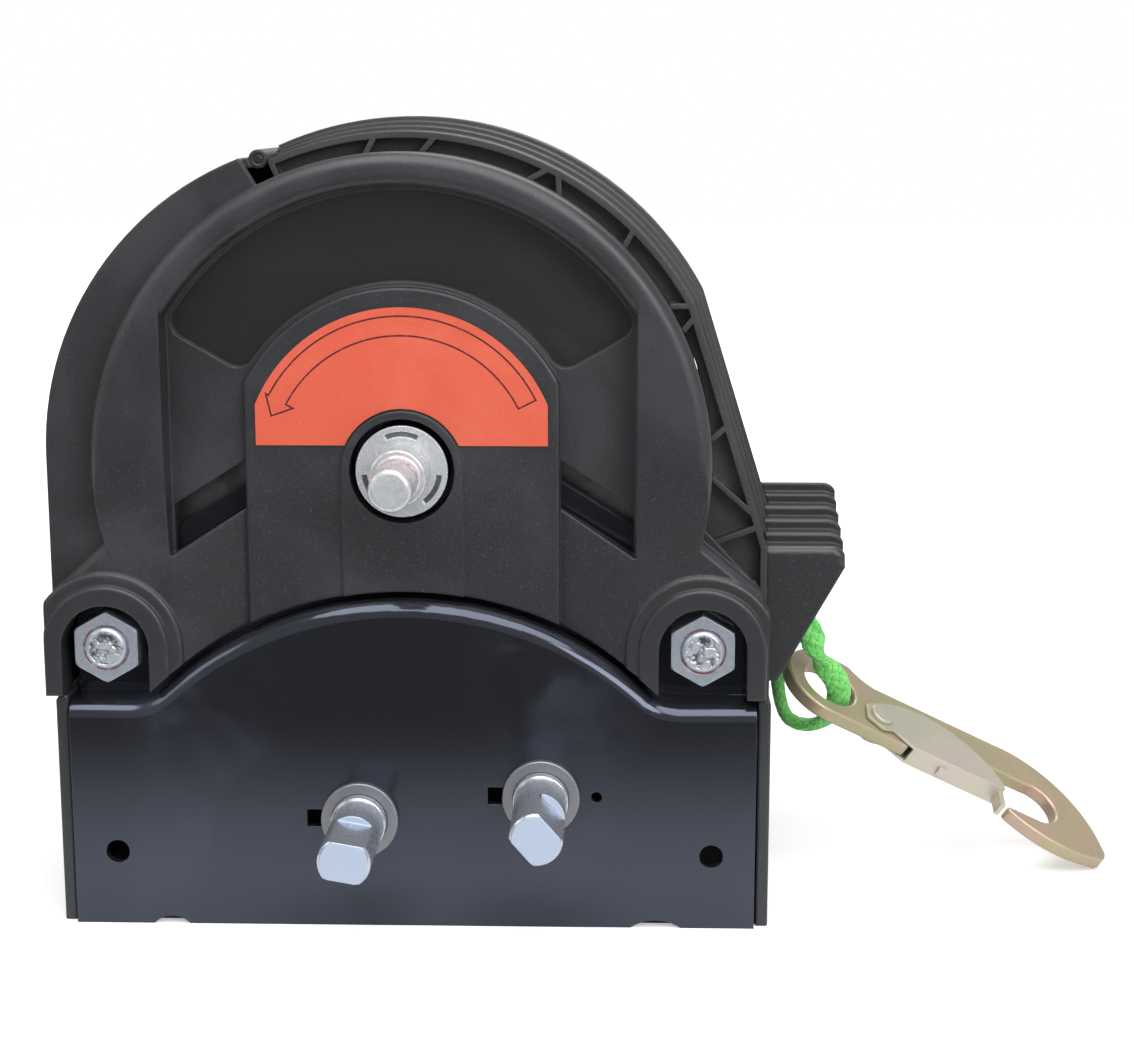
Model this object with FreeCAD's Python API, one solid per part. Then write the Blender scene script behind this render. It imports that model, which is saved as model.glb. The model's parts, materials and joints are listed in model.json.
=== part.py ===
import FreeCAD, Part
import math
import os
from FreeCAD import Vector as V

os.makedirs("parts", exist_ok=True)

# Frame: x to the right along the front plate, y from front to rear, z up from the base.
# The origin lies on the underside, below the drum axis and halfway between the two plates.
# The pieces are drawn with y counted from the front plate's face, and save moves them to that origin.

# Overall frame of the winch
depth = 116.0
mid_y = depth / 2
past = 5.0
axis_z = 134.5
plate_left = -97.3
plate_right = 101.7
sheet = 3.0
shoulder_z = 67.0
recess = 14.0
dome_radius = 104.5
dome_top = 97.5
shoulder_bend = 14.0
press_radius = 5.0
ear_height = 18.0
neck_half = 26.0
crest_half = 12.0
crest_height = 23.5
notch_reach = 15.5
notch_half = 2.6
notch_depth = 2.3
fixing_holes = ((-84.5, 22.1, 3.45), (89.0, 22.1, 3.45))
pilot_hole = (55.6, 39.8, 1.6)
edge_notches = ((-69.2, 7.2), (73.0, 13.0))

# Shafts and gears
shaft_distance = 102.5
left_shaft_x = -13.1
right_shaft_x = 39.6
gear_teeth = 54
pinion_teeth = 14
gear_width = 9.0
gear_front = 22.0
backlash = 0.45
pressure_angle = math.radians(20.0)
tooth_tip = 0.8
tooth_root = 1.2
shaft_radius = 8.0
drive_end_radius = 7.5
drive_reach = 38.5
drive_shoulder = 6.0
drive_chamfer = 0.8
drive_turns = (10.0, 49.0)
flat_length = 18.0
flat_half = 5.5
running_fit = 0.05
bush_flange_radius = 11.2
bush_body_radius = 10.0
bush_flange = 2.5
drum_shaft_end_radius = 6.05
drum_shaft_reach = 28.2
drum_shaft_shoulder = 8.0
drum_shaft_chamfer = 1.0
drum_shaft_tail = 2.0
washer_radius = 13.1
washer_front = 4.0
washer_thickness = 1.6
washer_slots = 3
slot_depth = 3.2
slot_edge = 1.6
slot_swing = 25.0
slot_sunk = 0.9

# Drum
core_radius = 34.0
core_wall = 3.0
hub_radius = 15.0
web_thickness = 4.0
gear_rim = 9.0
winding_radius = 66.0
flange_radius = 80.0
flange_thickness = 4.0
drum_gap = 5.0

# Tie bolts
bolt_z = 83.0
bolt_radius = 6.0
spacer_radius = 9.0
nut_flats = 18.2
nut_height = 12.0
nut_chamfer = 0.6
thread_lead = 0.8
bolt_proud = 1.5
bolt_head = 8.0

# Moulded housing
wall = 3.0
web_front = 8.0
rim_front = -2.0
rim_back = 18.0
rim_centre_z = 136.0
rim_outer = 88.0
rim_inner = 79.0
window_half = 66.7
leg_bottom = 100.0
leg_slope_top = 138.0
leg_slope_low = 110.0
rim_round = 4.0
window_round = 3.2
shell_centre_x = -12.5
shell_centre_z = 138.0
shell_radius = 90.0
shell_end = 111.0
left_side = shell_centre_x - shell_radius
bolt_inset = 16.5
bolt_x = -left_side - bolt_inset
right_side = 105.0
side_step = 2.0
cover_left = -103.6
cover_gap = 2.0
joint_gap = 0.4
ramp_low = 99.5
ramp_high = 119.5
ramp_width = 4.0
ramp_front = 2.5
ramp_chamfer = 1.8
boss_outer = 18.4
ring_width = 3.8
ring_drop = 1.4
collar_round = 1.2
boss_opening = 12.7
boss_front = 0.0
fan_outer = 77.6
fan_inner = 52.0
fan_ends = (30.0, 150.0)
fan_round = 5.0
fan_depth = 1.6
platform_radius = 50.6
platform_half = 44.9
platform_rise = 2.5
platform_round = 1.0
strip_half = 17.3
strip_rise = 1.2
hub_hole = 15.0
slot_outer_x = 66.0
slot_inner_x = 45.2
slot_low_z = 110.0
slot_height = 14.1
slot_slope = 0.63

# Hood
hinge_turn = math.radians(109.0)
hinge_inset = 1.6
hinge_x = shell_centre_x + (shell_radius - hinge_inset) * math.cos(hinge_turn)
hinge_z = shell_centre_z + (shell_radius - hinge_inset) * math.sin(hinge_turn)
knuckle_radius = 2.7
knuckle_gap = 0.5
pin_radius = 1.3
fixed_knuckles = ((20.0, 34.0), (51.0, 65.0), (82.0, 96.0))
hood_knuckles = ((34.5, 50.5), (65.5, 81.5))
leaf = 2.0
rope_way_top = 110.4
rib_half = 0.8
crown_ribs = ((97.0, 94.4), (86.8, 83.9), (66.5, 63.4), (60.0, 62.4), (44.9, 45.9), (31.0, 28.8), (25.8, 27.6))
side_ribs = ((141.7, 146.1), (130.6, 118.8), (109.5, 116.2))
ring_end = -16.0
hood_front = 19.0
hood_radius = 95.0
hood_inner = 88.6
hood_skin = 2.0
pocket_depth = 4.5
pocket_floor = 4.5
hood_start = 114.0
hood_side_x = 105.0
hood_corner_z = 110.0
hood_lean_x = 91.0
hood_lean_z = 155.0
hood_bottom = shoulder_z + cover_gap + joint_gap
band_steps = (0.0, 1.3, 2.6, 4.0)
band_width = 9.0

# Snout
snout_front = 21.0
snout_reach = 22.0
snout_top = 109.5
snout_nose = 4.7
snout_round = 3.0
nose_reach = 1.6
cheek_round = 2.0
snout_tip_z = hood_bottom
snout_steps = 5
snout_step_width = 7.6
snout_step_rise = 2.6

# Lower casing
casing_wall = 3.6
casing_floor = 3.0
casing_gap = 0.5
casing_bevel = 1.0
casing_slope = 1.4

# Label
label_outer = 45.0
label_half = 41.5
label_bottom = 141.8
label_cut = 16.5
label_thickness = 0.4

# Rope and hook
rope_radius = 3.0
rope_seat = 0.3
hook_thickness = 4.5
hook_roll = 64.0
hook_eye = V(132.0, 57.0, 54.0)
hook_tip = V(214.6, 74.8, 10.9)
eye_u = -6.5
eye_v = 2.05
eye_outer = 14.45
hole_u = -6.5
hole_v = 1.2
hole_length = 1.2
hole_radius = 8.6
step_u = 22.0
stem_low = -3.0
stem_top = 10.3
bowl_u = 69.8
bowl_v = -10.9
bowl_radius = 8.1
bill_u = 58.2
latch_gap = 0.3
latch_sheet = 1.0
gate_start = 23.2
gate_end = 57.2
bill_drop = 2.0
bill_under = (72.5, -26.4)
bill_end = (90.5, -25.2)
nose_point = (94.6, -23.0)
nose_top = (94.8, -18.5)
back_bend = (84.5, 0.6)
back_start = 57.4
neck_start = 11.5
neck_bend = (7.0, 12.0)
neck_end = (2.5, 15.5)
stem_step = 2.5
cheek_start = 6.5
cheek_half = 3.0
cheek_crown = (31.0, 5.6)
cheek_toe = (16.0, 4.0)
cheek_heel = (12.0, 2.4)
tab_width = 1.6
tab_drop = 6.5
stamp_box = (34.0, 37.0, -1.2, 1.8)
rivet_head = 1.3
rivet_head_height = 1.4
rivet_radius = 2.5
rivet_u = 11.4
rivet_v = -5.2


def xz(x, z, y=0.0):
    return V(x, y, z)


def line(a, b):
    return Part.LineSegment(a, b).toShape()


def arc(a, b, c):
    return Part.Arc(a, b, c).toShape()


def polygon(points, y0, y1):
    corners = [xz(x, z, y0) for x, z in points]
    wire = Part.makePolygon(corners + corners[:1])
    return Part.Face(wire).extrude(V(0, y1 - y0, 0))


def slab(edges, y0, y1):
    face = Part.Face(Part.Wire(edges))
    face.translate(V(0, y0, 0))
    return face.extrude(V(0, y1 - y0, 0))


def rod(x, z, radius, y0, y1):
    return Part.makeCylinder(radius, y1 - y0, V(x, y0, z), V(0, 1, 0))


def tube(x, z, outer, inner, y0, y1):
    return rod(x, z, outer, y0, y1).cut(rod(x, z, inner, y0 - 1, y1 + 1))


def box(x0, x1, y0, y1, z0, z1):
    return Part.makeBox(x1 - x0, y1 - y0, z1 - z0, V(x0, y0, z0))


def bar(a, b, thick, y0, y1):
    length = math.hypot(b[0] - a[0], b[1] - a[1])
    nx = -(b[1] - a[1]) / length * thick / 2
    nz = (b[0] - a[0]) / length * thick / 2
    corners = [(a[0] + nx, a[1] + nz), (b[0] + nx, b[1] + nz), (b[0] - nx, b[1] - nz), (a[0] - nx, a[1] - nz)]
    return polygon(corners, y0, y1)


def mirrored(shape):
    return shape.mirror(V(0, mid_y, 0), V(0, 1, 0))


def polar(cx, cz, radius, degrees):
    a = math.radians(degrees)
    return cx + radius * math.cos(a), cz + radius * math.sin(a)


def save(name, shape):
    solid = shape.removeSplitter()
    solid.translate(V(0, -mid_y, 0))
    solid.exportStep("parts/" + name + ".step")
    print(name, len(solid.Solids), round(solid.Volume / 1000, 2), "cm3", solid.isValid())


def hexagon(x, z, flats, y0, y1):
    points = [polar(x, z, flats / math.sqrt(3), 90 + 60 * k) for k in range(6)]
    return polygon(points, y0, y1)


left_shaft_z = axis_z - math.sqrt(shaft_distance ** 2 - left_shaft_x ** 2)
right_shaft_z = axis_z - math.sqrt(shaft_distance ** 2 - right_shaft_x ** 2)
dome_z = dome_top - dome_radius
drive_shafts = (("left", left_shaft_x, left_shaft_z), ("right", right_shaft_x, right_shaft_z))
module = 2 * shaft_distance / (gear_teeth + pinion_teeth)


# Pressed steel plates
def panel_outline(shift):
    top = shoulder_z - shift
    radius = dome_radius - shift
    bend = shoulder_bend + shift
    left = plate_left - shift
    right = plate_right + shift
    bottom = -shift
    bend_z = top + bend
    bend_x = math.sqrt((radius + bend) ** 2 - (bend_z - dome_z) ** 2)
    rise = math.degrees(math.atan2(bend_z - dome_z, bend_x))
    middle = polar(bend_x, bend_z, bend, (rise - 180 - 90) / 2)
    end = polar(0, dome_z, radius, rise)
    return [
        line(xz(left, bottom), xz(right, bottom)),
        line(xz(right, bottom), xz(right, top)),
        line(xz(right, top), xz(bend_x, top)),
        arc(xz(bend_x, top), xz(*middle), xz(*end)),
        arc(xz(*end), xz(0, dome_z + radius), xz(-end[0], end[1])),
        arc(xz(-end[0], end[1]), xz(-middle[0], middle[1]), xz(-bend_x, top)),
        line(xz(-bend_x, top), xz(left, top)),
        line(xz(left, top), xz(left, bottom)),
    ]


def slot_line(x, share):
    return slot_low_z + share * slot_height + (slot_outer_x - abs(x)) * slot_slope


def front_plate():
    raised = slab(panel_outline(0), 0, recess + sheet)
    top_edges = [e for e in raised.Edges if e.BoundBox.YMax < 0.01 and e.BoundBox.ZMin > shoulder_z - 1]
    raised = raised.makeFillet(press_radius, top_edges)
    ear_top = bolt_z + ear_height
    ear_x = slot_outer_x + sheet
    crest_z = axis_z + crest_height
    shoulders = [(ear_x, slot_line(ear_x, 0.5)), (neck_half, slot_line(neck_half, 0.5)), (crest_half, crest_z)]
    right = [(plate_right, shoulder_z - 2 * sheet), (plate_right, ear_top)] + shoulders
    left = [(-x, z) for x, z in reversed(shoulders)] + [(plate_left, ear_top), (plate_left, shoulder_z - 2 * sheet)]
    back = polygon(right + left, recess, recess + sheet)
    plate = raised.fuse(back)
    plate = plate.cut(slab(panel_outline(sheet), sheet, recess + 2 * sheet))
    for name, x, z in drive_shafts:
        plate = plate.cut(rod(x, z, bush_body_radius, -past, sheet + past / 2))
        notch = box(x - notch_reach, x - shaft_radius, -past, sheet + past / 2, z - notch_half, z + notch_half)
        plate = plate.cut(notch)
    plate = plate.cut(rod(0, axis_z, bush_body_radius, recess - 1, recess + sheet + 1))
    for x, z, radius in fixing_holes + (pilot_hole,):
        plate = plate.cut(rod(x, z, radius, -1, sheet + 1))
    for x, radius in edge_notches:
        plate = plate.cut(rod(x, notch_depth - radius, radius, -1, sheet + 1))
    for side in (-1, 1):
        plate = plate.cut(rod(side * bolt_x, bolt_z, bolt_radius + running_fit, recess - 1, recess + sheet + 1))
    return plate


# Gears with involute flanks
def gear_profile(teeth, cx, cz, phase, y0, y1, bore):
    pitch_radius = module * teeth / 2
    base_radius = pitch_radius * math.cos(pressure_angle)
    tip = pitch_radius + tooth_tip * module
    root = pitch_radius - tooth_root * module
    half_pitch = math.pi / (2 * teeth) - backlash / (2 * pitch_radius)

    def involute(radius):
        if radius <= base_radius:
            return 0.0
        return math.sqrt((radius / base_radius) ** 2 - 1) - math.acos(base_radius / radius)

    start = max(root, base_radius)
    radii = [root] + [start + (tip - start) * k / 3 for k in range(4)]
    radii = radii if start > root + 0.05 else radii[1:]
    halves = [half_pitch + involute(pitch_radius) - involute(r) for r in radii]
    points = []
    for tooth in range(teeth):
        centre = phase + 2 * math.pi * tooth / teeth
        flank = list(zip(radii, halves))
        for radius, half in flank:
            points.append((cx + radius * math.cos(centre - half), cz + radius * math.sin(centre - half)))
        for radius, half in reversed(flank):
            points.append((cx + radius * math.cos(centre + half), cz + radius * math.sin(centre + half)))
    return polygon(points, y0, y1).cut(rod(cx, cz, bore, y0 - 1, y1 + 1))


def mesh_phase(x, z):
    toward = math.atan2(z - axis_z, x)
    gear_pitch = 2 * math.pi / gear_teeth
    lead = (toward / gear_pitch) % 1.0
    pinion_pitch = 2 * math.pi / pinion_teeth
    return toward + math.pi + (lead + 0.5) * pinion_pitch


# Drum with its gear, flange, core, winding and shaft
gear_back = gear_front + gear_width
flange_back = depth - recess - sheet - drum_gap
flange_front = flange_back - flange_thickness


def drum_gear():
    gear = gear_profile(gear_teeth, 0, axis_z, 0.0, gear_front, gear_back, shaft_radius)
    inside_rim = module * gear_teeth / 2 - gear_rim
    y = gear_front + (gear_width - web_thickness) / 2
    for y0, y1 in ((gear_front - 1, y), (y + web_thickness, gear_back + 1)):
        gear = gear.cut(tube(0, axis_z, inside_rim, core_radius if y0 > y else hub_radius, y0, y1))
    return gear


def drum_shaft():
    shaft = rod(0, axis_z, shaft_radius, -drum_shaft_shoulder, depth - recess + bush_flange + drum_shaft_tail)
    nose = rod(0, axis_z, drum_shaft_end_radius, -drum_shaft_reach, -drum_shaft_shoulder)
    end = [e for e in nose.Edges if e.BoundBox.YMax < -drum_shaft_reach + 0.01]
    return shaft.fuse(nose.makeChamfer(drum_shaft_chamfer, end))


def retaining_washer():
    ring = tube(0, axis_z, washer_radius, shaft_radius, washer_front, washer_front + washer_thickness)
    for k in range(washer_slots):
        middle = 90 + 360 / washer_slots * k
        inner, outer = washer_radius - slot_depth, washer_radius - slot_edge
        turns = (middle - slot_swing, middle, middle + slot_swing)
        a, m, b = [xz(*polar(0, axis_z, inner, turn)) for turn in turns]
        d, c, e = [xz(*polar(0, axis_z, outer, turn)) for turn in turns]
        slot = slab([arc(a, m, b), line(b, e), arc(e, c, d), line(d, a)], 0, washer_front + slot_sunk)
        ring = ring.cut(slot)
    return ring


# Drive shafts with two flats
def drive_shaft(x, z, turn):
    body = rod(x, z, shaft_radius, -drive_shoulder, depth + 1)
    nose = rod(x, z, drive_end_radius, -drive_reach, -drive_shoulder)
    end = [e for e in nose.Edges if e.BoundBox.YMax < -drive_reach + 0.01]
    nose = nose.makeChamfer(drive_chamfer, end)
    wide = 2 * shaft_radius
    for side in (-1, 1):
        flat = box(-wide, wide, -drive_reach - 1, -drive_reach + flat_length, flat_half, wide)
        flat.rotate(V(0, 0, 0), V(0, 1, 0), 90 + 90 * side + turn)
        flat.translate(V(x, 0, z))
        nose = nose.cut(flat)
    return body.fuse(nose)


def bushing(x, z, y, bore):
    flange = tube(x, z, bush_flange_radius, bore, y - bush_flange, y)
    body = tube(x, z, bush_body_radius - running_fit, bore, y, y + sheet)
    return flange.fuse(body)


# Moulded front cover
def shell_point(radius, degrees):
    return xz(*polar(shell_centre_x, shell_centre_z, radius, degrees))


def cover_outline():
    low = shoulder_z + cover_gap
    radius = dome_radius + cover_gap
    half = math.sqrt(radius ** 2 - (low - dome_z) ** 2)
    rim_start = polar(0, rim_centre_z, rim_outer, 117)
    rim_end = polar(0, rim_centre_z, rim_outer, -12)
    middle = polar(0, rim_centre_z, rim_outer, 45)
    shoulder = right_side - side_step
    return [
        line(xz(left_side, low), xz(left_side, shell_centre_z)),
        arc(xz(left_side, shell_centre_z), shell_point(shell_radius, 145), shell_point(shell_radius, shell_end)),
        line(shell_point(shell_radius, shell_end), xz(*rim_start)),
        arc(xz(*rim_start), xz(*middle), xz(*rim_end)),
        line(xz(*rim_end), xz(shoulder, ramp_low)),
        line(xz(shoulder, ramp_low), xz(right_side, ramp_low - 4 * side_step)),
        line(xz(right_side, ramp_low - 4 * side_step), xz(right_side, low)),
        line(xz(right_side, low), xz(half, low)),
        arc(xz(half, low), xz(0, dome_z + radius), xz(-half, low)),
        line(xz(-half, low), xz(left_side, low)),
    ]


def arch(half, radius, bottom, y0, y1):
    rise = math.sqrt(max(radius ** 2 - half ** 2, 0.0))
    edges = [
        line(xz(-half, bottom), xz(-half, rim_centre_z + rise)),
        arc(xz(-half, rim_centre_z + rise), xz(0, rim_centre_z + radius), xz(half, rim_centre_z + rise)),
        line(xz(half, rim_centre_z + rise), xz(half, bottom)),
        line(xz(half, bottom), xz(-half, bottom)),
    ]
    return slab(edges, y0, y1)


def rim_disc(radius, bottom, y0, y1):
    half = math.sqrt(radius ** 2 - (rim_centre_z - bottom) ** 2)
    return slab([
        line(xz(-half, bottom), xz(half, bottom)),
        arc(xz(half, bottom), xz(0, rim_centre_z + radius), xz(-half, bottom)),
    ], y0, y1)


def profile_across(points, x0, x1):
    corners = [V(x0, y, z) for y, z in points]
    return Part.Face(Part.makePolygon(corners + corners[:1])).extrude(V(x1 - x0, 0, 0))


# The rim with rounded edges, whose legs slope back to the flats at their feet
def rim():
    body = rim_disc(rim_outer, leg_bottom, rim_front, rim_back)
    front = [e for e in body.Edges if e.BoundBox.YMax < rim_front + 0.01 and e.BoundBox.ZMax > rim_centre_z]
    body = body.makeFillet(rim_round, front)
    body = body.cut(arch(window_half, rim_inner, leg_bottom - past, rim_front - past, rim_back + past))
    arc_low = rim_centre_z + math.sqrt(rim_inner ** 2 - window_half ** 2)
    inner = [e for e in body.Edges if e.BoundBox.YMax < rim_front + 0.01 and e.BoundBox.ZMin > arc_low - 0.1]
    body = body.makeFillet(window_round, [e for e in inner if e.BoundBox.ZMax < rim_centre_z + rim_inner + 0.1])
    slope = [(rim_front - past, leg_slope_top), (rim_front, leg_slope_top), (ramp_front, leg_slope_low),
             (ramp_front, leg_bottom - past), (rim_front - past, leg_bottom - past)]
    return body.cut(profile_across(slope, -rim_outer - past, rim_outer + past))


def fan(y0, y1):
    points = []
    low, high = fan_ends
    for radius, degrees in ((fan_outer, low), (fan_outer, high), (fan_inner, high), (fan_inner, low)):
        points.append(xz(*polar(0, rim_centre_z, radius, degrees)))
    panel = slab([
        arc(points[0], xz(0, rim_centre_z + fan_outer), points[1]),
        line(points[1], points[2]),
        arc(points[2], xz(0, rim_centre_z + fan_inner), points[3]),
        line(points[3], points[0]),
    ], y0, y1)
    corners = [e for e in panel.Edges if e.BoundBox.YLength > y1 - y0 - 0.01]
    return panel.makeFillet(fan_round, corners)


def tunnel(x, half, low, y0, y1, round_front):
    body = slab([
        line(xz(x - half, low), xz(x - half, bolt_z)),
        arc(xz(x - half, bolt_z), xz(x, bolt_z + half), xz(x + half, bolt_z)),
        line(xz(x + half, bolt_z), xz(x + half, low)),
        line(xz(x + half, low), xz(x - half, low)),
    ], y0, y1)
    edges = [e for e in body.Edges if e.BoundBox.YMax < y0 + 0.01 and e.BoundBox.ZMax > low + 1]
    return body.makeFillet(round_front, edges)


def boss(side, low):
    x = side * bolt_x
    back = web_front + 0.5
    limit = box(cover_left, right_side, boss_front, back, low, axis_z)
    ring = tunnel(x, boss_outer + ring_width, low, boss_front + ring_drop, back, ring_drop)
    collar = tunnel(x, boss_outer, low, boss_front, back, collar_round)
    return ring.fuse(collar).common(limit)


# Flat round each boss, with a chamfer where it slopes down from the rim
def ramp(side, low):
    edge = left_side if side < 0 else -right_side
    flat = polygon([
        (edge + side_step, low),
        (edge + side_step, ramp_low),
        (-rim_inner, ramp_high),
        (-window_half, ramp_high - ramp_width),
        (-window_half, low),
    ], ramp_front, web_front + 0.5)
    front = [e for e in flat.Edges if e.BoundBox.YMax < ramp_front + 0.01]
    flat = flat.makeChamfer(ramp_chamfer, [e for e in front if e.BoundBox.XMax < -rim_inner + 0.01])
    return flat if side < 0 else flat.mirror(V(0, 0, 0), V(1, 0, 0))


def skirt(low):
    inside = left_side + wall
    return slab([
        line(xz(left_side, low), xz(left_side, shell_centre_z)),
        arc(xz(left_side, shell_centre_z), shell_point(shell_radius, 145), shell_point(shell_radius, shell_end)),
        line(shell_point(shell_radius, shell_end), shell_point(shell_radius - wall, shell_end)),
        arc(shell_point(shell_radius - wall, shell_end), shell_point(shell_radius - wall, 145),
            xz(inside, shell_centre_z)),
        line(xz(inside, shell_centre_z), xz(inside, low)),
        line(xz(inside, low), xz(left_side, low)),
    ], web_front, mid_y)


def slot_corners(side):
    return [
        (side * slot_outer_x, slot_line(slot_outer_x, 1)),
        (side * slot_inner_x, slot_line(slot_inner_x, 1)),
        (side * slot_inner_x, slot_line(slot_inner_x, 0)),
        (side * slot_outer_x, slot_line(slot_outer_x, 0)),
    ]


# Slopes from the flats to the web, below the slots
def apron(low):
    body = polygon([
        (slot_inner_x, low),
        (slot_inner_x, slot_line(slot_inner_x, 0)),
        (slot_outer_x, slot_line(slot_outer_x, 0)),
        (window_half, slot_line(slot_outer_x, 0)),
        (window_half, low),
    ], ramp_front, web_front + 0.5)
    wedge = [V(slot_inner_x, web_front, low - past), V(window_half, ramp_front, low - past)]
    wedge = wedge + [V(window_half, ramp_front - past, low - past), V(slot_inner_x, ramp_front - past, low - past)]
    body = body.cut(Part.Face(Part.makePolygon(wedge + wedge[:1])).extrude(V(0, 0, axis_z)))
    return body.fuse(body.mirror(V(0, 0, 0), V(1, 0, 0)))


def front_cover():
    low = shoulder_z + cover_gap
    web = slab(cover_outline(), web_front, web_front + wall)
    cover = web.fuse([rim(), apron(low), ramp(-1, low), ramp(1, low)])
    cover = cover.fuse([skirt(low), boss(-1, low), boss(1, low)])
    hollow = rim_disc(rim_outer - wall, leg_slope_low, rim_front + 2 * wall, rim_back + past)
    keep = arch(window_half + wall, rim_inner + wall, leg_bottom - past, rim_front, rim_back + 2 * past)
    cover = cover.cut(hollow.cut(keep))
    plate_edge = slot_line(window_half, 0.5) + cover_gap
    cover = cover.cut(box(-rim_outer - 1, rim_outer + 1, web_front + wall, rim_back + past, 0, plate_edge))
    platform = arch(platform_half, platform_radius, shoulder_z, web_front - platform_rise, web_front)
    rim_edges = [e for e in platform.Edges if e.BoundBox.YMax < web_front - platform_rise + 0.01]
    platform = platform.makeFillet(platform_round, [e for e in rim_edges if e.BoundBox.ZMax > axis_z])
    strip_front = web_front - platform_rise - strip_rise
    strip = rod(0, axis_z, strip_half, strip_front, web_front)
    strip = strip.fuse(box(-strip_half, strip_half, strip_front, web_front, shoulder_z, axis_z))
    below = rod(0, dome_z, dome_radius + cover_gap, -past, rim_back)
    cover = cover.fuse(platform.fuse(strip)).cut(below)
    cover = cover.cut(rod(0, axis_z, hub_hole, -past, rim_back))
    for side in (-1, 1):
        x = side * bolt_x
        cover = cover.cut(rod(x, bolt_z, boss_opening, -past, rim_back))
        cover = cover.cut(box(x - boss_opening, x + boss_opening, -past, rim_back, low - past, bolt_z))
        cover = cover.cut(polygon(slot_corners(side), 0, rim_back))
    cover = cover.cut(fan(web_front - past, web_front + fan_depth))
    for y0, y1 in hood_knuckles:
        cover = cover.cut(rod(hinge_x, hinge_z, knuckle_radius + knuckle_gap, y0 - knuckle_gap / 2, y1 + knuckle_gap / 2))
    root = polar(shell_centre_x, shell_centre_z, shell_radius - wall / 2, shell_end + 3)
    for y0, y1 in fixed_knuckles:
        if y0 < mid_y:
            end = min(y1, mid_y)
            arm = bar(root, (hinge_x, hinge_z - leaf / 2), leaf, y0, end)
            cover = cover.fuse([rod(hinge_x, hinge_z, knuckle_radius, y0, end), arm])
    return cover.cut(rod(hinge_x, hinge_z, pin_radius, 0, depth))


# Hood that swings on the pin
lean = math.atan2(hood_side_x - hood_lean_x, hood_lean_z - hood_corner_z)


def hood_points(offset):
    radius = hood_radius + offset
    start = polar(0, axis_z, radius, hood_start)
    normal = (math.cos(lean), math.sin(lean))
    px = hood_side_x + offset * normal[0]
    pz = hood_corner_z + offset * normal[1]
    away = px * normal[0] + (pz - axis_z) * normal[1]
    swing = math.acos(min(away / radius, 1.0))
    turn = math.degrees(lean + swing)
    top = polar(0, axis_z, radius, turn)
    middle = polar(0, axis_z, radius, (hood_start + turn) / 2)
    side = hood_side_x + offset
    corner = (side, pz - (side - px) / math.tan(lean))
    bottom = (side, hood_bottom)
    return start, middle, top, corner, bottom


def hood_band(outer, inner, y0, y1):
    a, b, c, d, e = [xz(*p) for p in hood_points(outer)]
    f, g, h, i, j = [xz(*p) for p in hood_points(inner)]
    return slab([
        arc(a, b, c), line(c, d), line(d, e), line(e, j),
        line(j, i), line(i, h), arc(h, g, f), line(f, a),
    ], y0, y1)


# Ring at the hood's front, from the circle behind the cover's rim out to the hood's flange
def hood_ring(y0, y1):
    a, b, c, d, e = [xz(*p) for p in hood_points(0)]
    inside = hood_side_x - wall
    foot = xz(*polar(0, axis_z, hood_inner, ring_end))
    middle = xz(*polar(0, axis_z, hood_inner, (hood_start + ring_end) / 2))
    first = xz(*polar(0, axis_z, hood_inner, hood_start))
    turn = xz(inside, foot.z - (inside - foot.x))
    return slab([
        arc(a, b, c), line(c, d), line(d, e), line(e, xz(inside, e.z)), line(xz(inside, e.z), turn),
        line(turn, foot), arc(foot, middle, first), line(first, a),
    ], y0, y1)


def hood_pockets(y0, y1):
    _, b, c, d, _ = [xz(*p) for p in hood_points(-hood_skin)]
    radius = hood_inner - joint_gap
    a = xz(*polar(0, axis_z, hood_radius - hood_skin, hood_start - 1))
    foot = xz(*polar(0, axis_z, radius, ring_end + 0.7))
    middle = xz(*polar(0, axis_z, radius, (hood_start + ring_end) / 2))
    first = xz(*polar(0, axis_z, radius, hood_start - 1))
    turn = xz(d.x, foot.z - (d.x - foot.x))
    return slab([
        arc(a, b, c), line(c, d), line(d, turn), line(turn, foot), arc(foot, middle, first), line(first, a),
    ], y0, y1)


def hood_shell():
    y = hood_front + pocket_depth
    ring = hood_ring(hood_front, y + pocket_floor)
    shell = ring.cut(hood_pockets(hood_front - 1, y)).fuse(hood_ribs().common(ring))
    for rise in band_steps:
        last = rise == band_steps[-1]
        y1 = mid_y if last else y + band_width
        shell = shell.fuse(hood_band(rise, -wall, y, y1 + 0.01 * last))
        y = y1
    shell = shell.fuse(mirrored(shell))
    inset = hood_front + pocket_depth + pocket_floor
    way = box(hood_side_x - 10, hood_side_x + 10, inset, depth - inset, hood_bottom - past, rope_way_top)
    shell = shell.cut(way)
    shell = shell.cut(rod(hinge_x, hinge_z, knuckle_radius + knuckle_gap, 0, depth))
    root = polar(0, axis_z, hood_radius - wall / 2, hood_start - 4)
    for y0, y1 in hood_knuckles:
        arm = bar((hinge_x, hinge_z - leaf / 2), root, leaf, y0, y1)
        shell = shell.fuse([rod(hinge_x, hinge_z, knuckle_radius, y0, y1), arm])
    return shell.cut(rod(hinge_x, hinge_z, pin_radius + running_fit, 0, depth))


def side_x(height, offset):
    fall = max(0.0, height - hood_corner_z) * math.tan(lean)
    return hood_side_x + offset - fall


def hood_ribs():
    ribs = []
    for inner, outer in crown_ribs:
        a = polar(0, axis_z, hood_inner, inner)
        b = polar(0, axis_z, hood_radius, outer)
        ribs.append(bar(a, b, 2 * rib_half, hood_front, hood_front + pocket_depth + 0.5))
    for inner, outer in side_ribs:
        reach = math.sqrt(hood_inner ** 2 - (inner - axis_z) ** 2)
        a = (reach, inner)
        b = (side_x(outer, -0.5), outer)
        ribs.append(bar(a, b, 2 * rib_half, hood_front, hood_front + pocket_depth + 0.5))
    return ribs[0].fuse(ribs[1:])


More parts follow.
